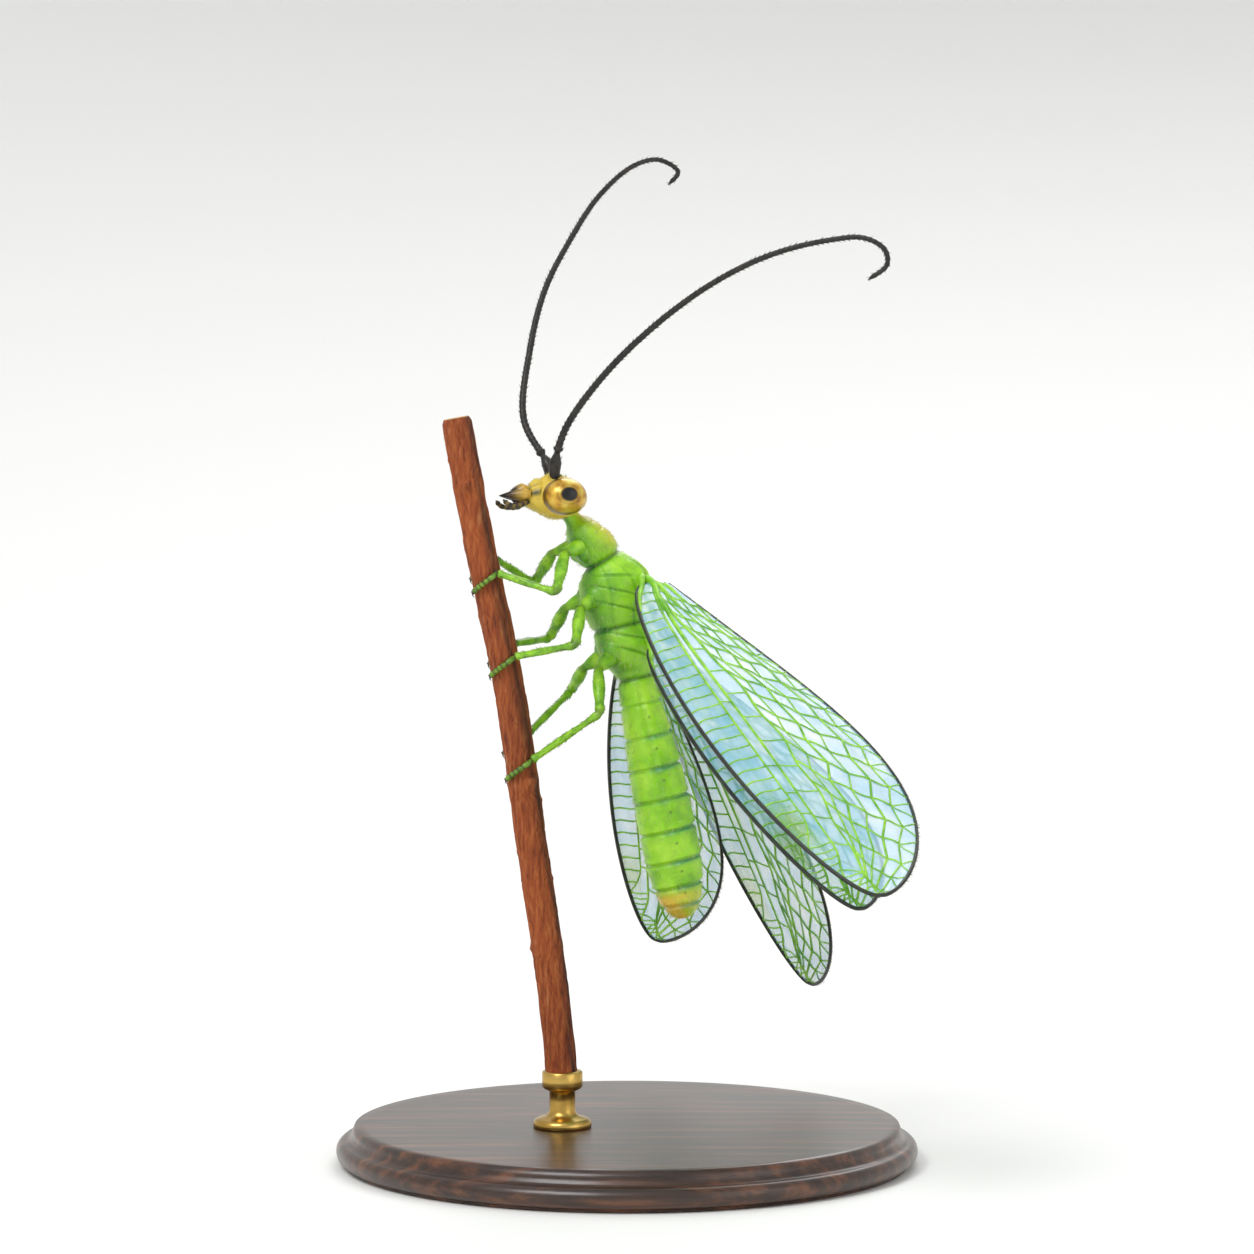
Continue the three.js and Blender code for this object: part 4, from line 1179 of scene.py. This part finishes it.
def vein_lines(kind):
    """The vein net in wing coordinates, after the net of green lacewings: lists of (s, r) lines by
    thickness. Three long veins run out behind the front edge, with ladder-like cross veins. From the third,
    slanting branches run to the hind edge and fork there; steps between the branches make rows of cells.
    Places are evenly spaced, and the branches start at a power of their share of the length."""
    rim, run = blade_rim(kind)

    def on(key, q):
        """The spot of a long vein at q."""
        return flat_spot(kind, q, long_vein(kind, key, q))

    def edge(u):
        """The spot of the rim at the share u of its length."""
        return np.array([np.interp(u, run, rim[:, 0]), np.interp(u, run, rim[:, 1])])

    def front_edge(q):
        """The spot of the front edge at q."""
        return flat_spot(kind, q, 0.0)

    long_, branches, cross, forks = [], [], [], []
    for key, (end, _) in LONG_VEIN_ENDS.items():
        q = np.linspace(0.0, end, LONG_VEIN_STEPS)
        long_.append(np.stack([q, long_vein(kind, key, q)], axis=1))
    for k in range(kind["crossings"]):
        q = 0.035 + 0.78 * k / (kind["crossings"] - 1)
        cross.append(rung(kind, on("sub", q), front_edge(q + 0.012), 0.06))
    for k in range(5):
        q = 0.845 + 0.018 * k
        forks.append(rung(kind, on("radius", q), front_edge(q + 0.014)))
    for k in range(kind["branches"]):
        q = 0.09 + 0.83 * k / (kind["branches"] - 1)
        cross.append(rung(kind, on("radius", q), on("sector", q + 0.01)))
    for q in (0.1, 0.42, 0.62, 0.7, 0.76):
        cross.append(rung(kind, on("sub", q), on("radius", q + 0.004)))
    for k in range(4):
        q = 0.93 + 0.013 * k
        forks.append(rung(kind, on("sector", q), front_edge(q + 0.016)))
    # the branches: bowed lines, cornered at each step between them
    count = kind["branches"] + 5
    tip = float(np.interp(0.985, rim[:200, 0], run[:200]))
    stops = []
    for k in range(count):
        share = k / (count - 1)
        end_at = HIND_CORNER + (tip + 0.02 - HIND_CORNER) * share
        start = on("sector", 0.02 + 0.9 * share**1.12)
        way = edge(end_at) - start
        levels = STEP_LEVELS + np.where(STEP_LEVELS > 0, STEP_STAGGER * (-1) ** k, 0)
        bow = np.array([-way[1], way[0]]) * 0.1
        corners = start + way * levels[:, None] + bow * np.sin(np.pi * levels)[:, None]
        stops.append(corners)
        for a, b in zip(corners[:-1], corners[1:]):
            branches.append(rung(kind, a, b))
        for shift in (-FORK_REACH, FORK_REACH):
            forks.append(rung(kind, corners[-1], edge(end_at + shift), 0.04))
    for here, onward in zip(stops[:-1], stops[1:]):
        for level in range(1, len(STEP_LEVELS)):
            if np.linalg.norm(here[level] - onward[level]) >= 0.008:
                lines = branches if level in (2, 4) else cross
                lines.append(rung(kind, here[level], onward[level]))
    # the rows of the second and fourth steps run on to the root as the middle and hind main veins
    for level, r0 in ((2, 0.62), (4, 0.8)):
        branches.append(rung(kind, flat_spot(kind, 0.0, np.array(r0)), stops[0][level], 0.05))
    for k in range(4):
        forks.append(rung(kind, stops[-1][k + 1], edge(tip - 0.006 + 0.009 * k)))
    return long_, branches, cross, forks


def wing_veins(name):
    """Veins as fine tubes in the wing's surface: long veins taper evenly to half their width at the tip,
    and cross veins are slighter."""
    normal = wing_axes(name)[3] @ BODY_AXES
    long_, *short = vein_lines(WINGS[name][0])
    sizes = np.array([0.055, 0.075, 0.06])[:, None] * np.linspace(1, 0.5, LONG_VEIN_STEPS)
    long_ = np.array(long_)
    groups = [(wing_point(name, long_[..., 0], long_[..., 1]), sizes, 8, normal)]
    for lines, size in zip(short, (0.043, 0.034, 0.03)):
        spots = np.array(lines)
        paths = wing_point(name, spots[..., 0], spots[..., 1])
        groups.append((paths, np.full(spots.shape[:2], size), 6, normal))
    return tubes(f"{name}_veins", groups), normal


def wing_rim(name, normal):
    """The dark vein that runs round the whole wing, stouter along the front edge and thin at the root."""
    s = TIP * (1 - (1 - np.linspace(0, 1, 150)) ** 1.5)
    line = evenly(np.vstack([wing_point(name, s, 0.0), wing_point(name, s, 1.0)[::-1]]), 420)
    share = np.linspace(0, 1, len(line))
    radius = 0.066 - 0.022 * np.clip(share * 2 - 0.9, 0, 1)
    radius = radius * np.clip(0.35 + 12 * np.minimum(share, 1 - share), 0, 1)
    return tubes(f"{name}_rim", [(line[None], radius[None], 8, normal)])


def wing_hairs(name, normal):
    """Fine hairs along the veins and a fringe on the hind edge, leaning to the tip."""
    rng = np.random.default_rng(RNG_SEED + 40 + len(name))
    long_, branches, cross, _ = vein_lines(WINGS[name][0])
    spots = np.vstack([*[line[6:] for line in long_], *[line[1:-1] for line in branches + cross]])
    pick = rng.integers(0, len(spots), VEIN_HAIRS)
    spots = spots[pick] + rng.normal(0, 0.0015, (VEIN_HAIRS, 2))
    up = rng.choice([-1.0, 1.0], VEIN_HAIRS)
    roots = wing_point(name, spots[:, 0], np.clip(spots[:, 1], 0, 1))
    along, lead = (axis @ BODY_AXES for axis in wing_axes(name)[1:3])
    aim = normal * up[:, None] + along * 0.9
    groups = [bristles(roots, aim, rng.uniform(0.1, 0.17, VEIN_HAIRS), 0.0055)]
    s = rng.uniform(0.04, 0.995, FRINGE_HAIRS)
    roots = wing_point(name, s, 1.0)
    aim = along * 0.7 - lead + rng.normal(0, 0.12, (FRINGE_HAIRS, 3))
    groups.append(bristles(roots, aim, rng.uniform(0.1, 0.17, FRINGE_HAIRS), 0.0055))
    places = np.vstack([spots, np.stack([s, np.ones(FRINGE_HAIRS)], axis=1)])
    return tubes(f"{name}_hairs", groups, patches=np.clip(places, 0, 1))


def wing_stems(name):
    """The folded wing root: four stout vein stems that leave the flank and thin, by a power of their
    length, into the long veins."""
    _, side, root, *_ = WINGS[name]
    normal = wing_axes(name)[3]
    inner = np.array([root[0], side * 0.62, root[2] - 0.22])
    t = np.linspace(0, 1, 36)
    paths, radii = [], []
    for r0, r1, thick, shift in STEMS:
        first = inner + np.array([shift, 0, 0])
        on_wing = [to_body(wing_point(name, s, r0 + (r1 - r0) * s / 0.1)) for s in (0.012, 0.05, 0.1)]
        middle = (first + on_wing[0]) / 2 + normal * 0.1 + np.array([shift * 0.4, 0, 0])
        paths.append(from_body(lane([first, middle, *on_wing], len(t))))
        radii.append(0.035 + (thick - 0.035) * (1 - t) ** 0.8)
    return tubes(f"{name}_root", [(np.array(paths), np.array(radii), 12, (0.3, 0.2, 1))])


# Twig and stand

LEAF_SCARS = ((0.2, 1.2), (0.45, 4.1), (0.7, 0.4), (0.9, 3.3))  # share of the twig's length, turn
PORES = 26
CUT_RINGS = 12  # rings of each cut end
FLANGE_RADII = (0.02, 0.9, 0.95, 0.95, 0.88, 0.8, 0.55, 0.46, 0.42)
COLLAR_RADII = (0.42, 0.42, 0.5, 0.62, 0.66, 0.66, 0.62, 0.02)
FLANGE_HEIGHTS = (-0.02, -0.02, 0.03, 0.16, 0.26, 0.3, 0.36, 0.46, 0.6)  # heights over the base
COLLAR_HEIGHTS = (-0.7, -0.42, -0.38, -0.32, -0.24, 0.2, 0.24, 0.24)  # heights over the twig's foot


def turned_away(turn, where):
    """How far round a direction lies from another, between minus and plus half a turn."""
    return np.angle(np.exp(1j * (turn - where)))


def twig_size(share, turn, ridges, cracks):
    """Radius of the bark: it thins along the twig, and carries ridges, cracks, leaf scars and pores as a
    sum of soft hills and furrows."""
    size = TWIG_RADIUS * (1 - 0.05 * share) + 0.025 * ridges + 0.04 * (cracks - 1)
    for at, where in LEAF_SCARS:
        away = turned_away(turn, where)
        size = size + 0.02 * bump(share - at, 0.01) + 0.14 * bump(share - at, 0.008) * bump(away, 0.4)
        size = size - 0.07 * bump(share - at - 0.009, 0.004) * bump(away, 0.3)
    rng = np.random.default_rng(RNG_SEED + 60)
    for at, where in zip(rng.uniform(0.03, 0.97, PORES), rng.uniform(0, 2 * np.pi, PORES)):
        size = size + 0.03 * bump(share - at, 0.0035) * bump(turned_away(turn, where), 0.16)
    return size * (1 - 0.12 * bump(share - 1, 0.004) - 0.12 * bump(share, 0.004))


def twig(rows=520, around=110):
    """The cut length of twig: its bark round the bent axis, then slightly domed cut ends with rings."""
    line = lane(TWIG_ROUTE, rows)
    share = np.linspace(0, 1, rows)[:, None]
    turn = circle(around)[None]
    ridges = ripple(share * 1.2, turn, 21, 14, 1, 12)
    wander = turn + 0.35 * ripple(share * 2.5, turn * 0, 22) + 0.12 * ripple(share * 9, turn, 25)
    cracks = np.abs(np.sin(7.5 * wander)) ** 0.6 + 0.5 * np.abs(np.sin(12 * wander + 30 * share)) ** 0.6
    size = twig_size(share, turn, ridges, cracks)
    rings = tube_points(line[None], np.ones((1, rows)), around, (0.2, 1, 0.1))[0]
    grid = line[:, None] + (rings - line[:, None]) * size[..., None]
    ends = []
    steps = np.linspace(0.94, 0.04, CUT_RINGS)
    for k, way in ((0, 1), (-1, -1)):
        outward = unit(line[k] - line[k + way])
        rise = (0.03 + 0.01 * np.sin(steps * 30))[:, None, None]
        ends.append(line[k] + (grid[k] - line[k])[None] * steps[:, None, None] + outward * rise)
    # painted shade: a dark streak down the side of the twig turned from the key lamp, and darker crack
    # hollows, dark partly in the bark's own colour and partly as painted shade
    shade_streak = bump(turned_away(turn, SHADE_SIDE + 0.3 * np.sin(7 * share)), 0.42)
    dark = 0.85 * shade_streak * np.clip(0.7 + 0.7 * ridges, 0, 1) + 0.6 * np.clip(0.55 - cracks, 0, 1)
    bare = np.zeros((CUT_RINGS, around))
    marks = {
        "wood": np.concatenate([bare + 0.9, 0 * dark, bare + 0.9]),
        "furrow": np.concatenate([bare, np.clip(dark, 0, 1), bare]),
    }
    return rounded("twig_bark", np.concatenate([ends[0][::-1], grid, ends[1]]), marks)


def turned_grid(r, z, centre, around):
    """The grid of a turned form: its profile of radius r and height z, carried round an upright axis."""
    turn = circle(around)
    x, y = centre[0] + r[:, None] * np.cos(turn), centre[1] + r[:, None] * np.sin(turn)
    return np.stack([x, y, np.broadcast_to(z[:, None], x.shape)], axis=-1)


def base_disc(radius, high):
    """The turned base: flat foot, small cove, round bead, step and a very shallow dome."""
    t = np.linspace(0, 1, 40)
    bead = np.linspace(-np.pi / 2, np.pi / 2, 28)
    r = np.r_[
        np.linspace(0.02, radius - 0.35, 14),
        radius - 0.3 + 0.02 * t[:6],
        radius - 0.3 + 0.3 * np.cos(bead),
        radius - 0.42 - 0.1 * np.sin(2 * np.pi * t[:10]),
        np.linspace(radius - 0.6, 0.02, 24),
    ]
    z = np.r_[
        np.zeros(14),
        0.02 + 0.1 * t[:6],
        0.45 + 0.33 * np.sin(bead),
        0.84 + 0.9 * t[:10],
        high - 0.05 + 0.05 * (1 - np.linspace(1, 0, 24) ** 2),
    ]
    return rounded("base_disc", turned_grid(r, np.clip(z, 0, high), (0, 0), 160))


def brass_rod(high):
    """The rod: a flange on the base, a slender shaft, and a collar round the twig's foot."""
    foot_x, foot_z = TWIG_POINTS[0]
    r = np.r_[FLANGE_RADII, COLLAR_RADII]
    z = np.r_[high + np.array(FLANGE_HEIGHTS), foot_z + np.array(COLLAR_HEIGHTS)]
    return rounded("brass_rod", turned_grid(r, z, (foot_x, TWIG_DEPTH), 64))


# Stage

FLOOR_RADIUS = 260  # the floor is flat to here, then curves up as a parabola
FLOOR_DROP = 0.01  # keeps the floor just under the base
LIGHTS = (  # name, place, width, power
    ("key", (-160, -230, 330), 200, 0.92),
    ("fill", (300, -240, 160), 300, 0.22),
    ("back", (60, 320, 300), 260, 0.5),
)
LIT_POINT = np.array([0, 0, 16])
ROOM_COLOUR = (0.98, 0.99, 1, 1)
ROOM_STRENGTH = 0.72
CAMERA_PLACE = (0, -0.152546, 0.026848)
CAMERA_LENS = 135
CAMERA_DIP = 3.5  # degrees below the level


def studio_floor():
    """The pale floor: flat rings, then rings that rise as the square of their way out."""
    around = 96
    r = np.r_[0.02, np.linspace(20, FLOOR_RADIUS, 12), np.linspace(300, 1400, 40)]
    z = 0.0011 * np.clip(r - FLOOR_RADIUS, 0, None) ** 2 - FLOOR_DROP
    points = np.vstack([turned_grid(r, z, (0, 0), around).reshape(-1, 3), [[0, 0, -FLOOR_DROP]]])
    quads, triangles = shell_faces(len(r), around)
    floor = put_mesh("studio_floor", points, quads, triangles[:around])
    if floor.data.polygons[0].normal.z < 0:
        floor.data.flip_normals()
    made, tree = new_material("pale floor")
    floor.data.materials.append(finish(made, tree, tuple(srgb("F4F4F2")), 0.9))


def soft_room(scene):
    """An even light from all round."""
    world = bpy.data.worlds.new("soft room")
    world.use_nodes = True
    inputs = world.node_tree.nodes["Background"].inputs
    inputs["Color"].default_value = ROOM_COLOUR
    inputs["Strength"].default_value = ROOM_STRENGTH
    scene.world = world


def studio_light(scene, name, spot, size, power):
    """A round lamp, turned by the two angles of its way to the lit point."""
    light = bpy.data.lights.new(name, "AREA")
    light.shape = "DISK"
    light.size = size * MM
    light.energy = power
    lamp = bpy.data.objects.new(name, light)
    lamp.location = [v * MM for v in spot]
    aim = LIT_POINT - spot
    tilt = math.acos(-aim[2] / np.linalg.norm(aim))
    lamp.rotation_euler = (tilt, 0, math.atan2(aim[1], aim[0]) - math.pi / 2)
    scene.collection.objects.link(lamp)


def studio_camera(scene):
    """The camera, level with the insect's middle and dipped a little."""
    camera = bpy.data.cameras.new("camera")
    camera.lens = CAMERA_LENS
    camera.clip_start = 0.002
    camera.clip_end = 20
    eye = bpy.data.objects.new("camera", camera)
    eye.location = CAMERA_PLACE
    eye.rotation_euler = (math.radians(90 - CAMERA_DIP), 0, 0)
    scene.collection.objects.link(eye)
    scene.camera = eye


# Settings


def colour(name, description, default):
    """A colour setting with three parts from 0 to 1."""
    return bpy.props.FloatVectorProperty(
        name=name, description=description, subtype="COLOR", size=3, default=srgb(default), min=0, max=1
    )


class LacewingBody(bpy.types.PropertyGroup):
    """Colours and hairs of thorax and abdomen"""

    green: colour("Green", "Main green of the body", "8CCB12")
    gold: colour("Gold", "Yellow of head, neck and tail", "DDB93E")
    band: colour("Band", "Blue-green of the folds between rings", "2F7F62")
    hairs: bpy.props.IntProperty(
        name="Hairs", description="Fine hairs on the body", default=3600, min=0, max=9000
    )


class LacewingHead(bpy.types.PropertyGroup):
    """Colour of the eyes"""

    eye: colour("Eye gold", "Ground colour of the eyes", "CFA02C")


class LacewingWings(bpy.types.PropertyGroup):
    """Tint of the wings"""

    film: colour("Film", "Tint of the membrane", "B4E0F1")


class LacewingStand(bpy.types.PropertyGroup):
    """Colours of twig and base, and the size of the base"""

    bark: colour("Bark", "Main colour of the twig", "8C3E12")
    wood: colour("Wood", "Main colour of the base", "3A2216")
    base_radius: bpy.props.FloatProperty(
        name="Base radius",
        description="Radius of the round base",
        default=9.5 * MM,
        unit="LENGTH",
        min=0.005,
        max=0.02,
    )
    base_height: bpy.props.FloatProperty(
        name="Base height",
        description="Height of the round base",
        default=1.3 * MM,
        unit="LENGTH",
        min=0.0005,
        max=0.004,
    )


# Operators


class LACEWING_OT_body(bpy.types.Operator):
    """The skin of thorax and abdomen, from the neck to the tail, with its short hairs"""

    bl_idname = "lacewing.body"
    bl_label = "Body"

    def execute(self, context):
        """The skin, whose last rings crowd together as a quarter sine, then its hairs."""
        rows, tail_rows = 540, 24
        tip = (np.linspace(0, 1, tail_rows) + 1 / tail_rows) / (1 + 1 / tail_rows)
        tail = TAIL_CLOSES + (TAIL + 0.001 - TAIL_CLOSES) * np.sin(np.pi / 2 * tip)
        x = np.r_[np.linspace(NECK, TAIL_CLOSES, rows - tail_rows), tail]
        x, turn = np.meshgrid(x, circle(168), indexing="ij")
        skin = rounded("body_skin", from_body(body_point(x, turn)), body_marks(x, turn))
        dress(skin, cuticle(), BODY_NODES)
        hairs = body_hairs(context.scene.lacewing_body.hairs)
        dress(hairs, vein_skin("pale body hair", "9AA85A", "D8DCA0"))
        return {"FINISHED"}


class LACEWING_OT_head(bpy.types.Operator):
    """The head capsule, the two compound eyes, and the jaws, lip and palps"""

    bl_idname = "lacewing.head"
    bl_label = "Head"

    def execute(self, context):
        """The capsule in the body's own skin, then eyes and mouth."""
        polar, turn = np.meshgrid(np.linspace(0.01, np.pi - 0.01, 220), circle(200), indexing="ij")
        skin = rounded("head_capsule", from_head(head_point(polar, turn)), head_marks(polar, turn))
        dress(skin, bpy.data.materials["green cuticle"], ("head",))
        dress(eye_rims(), bpy.data.materials["green cuticle"])
        dress(head_hairs(), bpy.data.materials["pale body hair"])
        material = compound_eye()
        for name, side in SIDES:
            grid, marks = eye_grid(side)
            dress(rounded(f"compound_eye_{name}", from_head(grid), marks), material, (f"eye_{name}",))
        dress(jaws(), horn("dark jaw horn", "120C06", "4A3210"), ("mouthparts",))
        dark = horn("dusky palp horn", "17130C", "3C3216", 0.4)
        for name, side in SIDES:
            dress(palps(name, side), dark, (f"palp_{name}",))
        return {"FINISHED"}


class LACEWING_OT_feelers(bpy.types.Operator):
    """The two long ringed feelers with their whorls of short hairs"""

    bl_idname = "lacewing.feelers"
    bl_label = "Feelers"

    def execute(self, context):
        """One feeler for each side."""
        material = horn("near-black feeler skin", "0C0B0A", "2A241C", 0.45)
        for name, side in SIDES:
            nodes = [f"antenna_{name}_{part}" for part in ("base", "middle", "tip")]
            dress(feeler(name, side), material, nodes)
        return {"FINISHED"}


class LACEWING_OT_legs(bpy.types.Operator):
    """Six legs that grip the twig, with claws, spurs and bristles"""

    bl_idname = "lacewing.legs"
    bl_label = "Legs"

    def execute(self, context):
        """Each leg, then the bristles of all six as one piece."""
        material = leg_skin()
        lines = []
        for name in LEGS:
            piece, line = leg(name)
            nodes = [f"leg_{name}_{part}" for part in ("femur", "tibia", "tarsus")]
            dress(piece, material, nodes)
            lines.append(line)
        dress(leg_hairs(lines), vein_skin("dusky leg hair", "3A3A16", "6A6A30"))
        return {"FINISHED"}


class LACEWING_OT_wings(bpy.types.Operator):
    """Four lace wings: clear film, green vein net, dark rim, hairs and root stems"""

    bl_idname = "lacewing.wings"
    bl_label = "Wings"

    def execute(self, context):
        """The five pieces of each wing."""
        film = membrane()
        green = vein_skin("green wing vein", "5FA812", "9AD638")
        rim = vein_skin("dark rim vein", "0E120C", "26301A")
        hair = vein_skin("dusky wing hair", "3E4A2A", "6E7A4A")
        for name in WINGS:
            dress(wing_film(name), film, (name,))
            veins, normal = wing_veins(name)
            dress(veins, green)
            dress(wing_rim(name, normal), rim)
            dress(wing_hairs(name, normal), hair)
            dress(wing_stems(name), green)
        return {"FINISHED"}


class LACEWING_OT_twig(bpy.types.Operator):
    """The cut length of twig, with bark ridges, old leaf scars and bare cut ends"""

    bl_idname = "lacewing.twig"
    bl_label = "Twig"

    def execute(self, context):
        """The twig in its bark."""
        dress(twig(), twig_bark(), ("twig",))
        return {"FINISHED"}


class LACEWING_OT_stand(bpy.types.Operator):
    """The turned base and the brass rod with its collar"""

    bl_idname = "lacewing.stand"
    bl_label = "Stand"

    def execute(self, context):
        """The base in the size set, then the rod that rises from it."""
        stand = context.scene.lacewing_stand
        high = stand.base_height / MM
        dress(base_disc(stand.base_radius / MM, high), turned_wood(), ("stand_base",))
        dress(brass_rod(high), brass(), ("stand_rod",))
        return {"FINISHED"}


class LACEWING_OT_stage(bpy.types.Operator):
    """A pale floor that curves up all round, soft lights and the camera"""

    bl_idname = "lacewing.stage"
    bl_label = "Stage"

    def execute(self, context):
        """Floor, room, lights and camera."""
        context.scene.view_settings.view_transform = "Standard"
        studio_floor()
        soft_room(context.scene)
        for name, spot, size, power in LIGHTS:
            studio_light(context.scene, name, spot, size, power)
        studio_camera(context.scene)
        return {"FINISHED"}


class LACEWING_PT_panel(bpy.types.Panel):
    """Sizes and colours, and a button for each group of pieces"""

    bl_label = "Lacewing"
    bl_idname = "LACEWING_PT_panel"
    bl_space_type = "VIEW_3D"
    bl_region_type = "UI"
    bl_category = "Lacewing"

    def draw(self, context):
        """A box of settings for each group, then the buttons."""
        for key in GROUPS:
            group = getattr(context.scene, key)
            box = self.layout.box()
            for name in group.__annotations__:
                box.prop(group, name)
        for step in OPERATORS:
            self.layout.operator(step.bl_idname)


GROUPS = {
    "lacewing_body": LacewingBody,
    "lacewing_head": LacewingHead,
    "lacewing_wings": LacewingWings,
    "lacewing_stand": LacewingStand,
}
OPERATORS = (
    LACEWING_OT_stage,
    LACEWING_OT_body,
    LACEWING_OT_head,
    LACEWING_OT_feelers,
    LACEWING_OT_legs,
    LACEWING_OT_wings,
    LACEWING_OT_twig,
    LACEWING_OT_stand,
)


def register():
    """Make the settings, the operators and the panel known to Blender."""
    for made in (*GROUPS.values(), *OPERATORS, LACEWING_PT_panel):
        bpy.utils.register_class(made)
    for key, group in GROUPS.items():
        setattr(bpy.types.Scene, key, bpy.props.PointerProperty(type=group))


def unregister():
    """Take them away again, in the opposite order."""
    for key in GROUPS:
        delattr(bpy.types.Scene, key)
    for made in (LACEWING_PT_panel, *OPERATORS[::-1], *GROUPS.values()):
        bpy.utils.unregister_class(made)


def main():
    """Build all the pieces."""
    register()
    for step in OPERATORS:
        group, name = step.bl_idname.split(".")
        getattr(getattr(bpy.ops, group), name)()


if __name__ == "__main__":
    main()
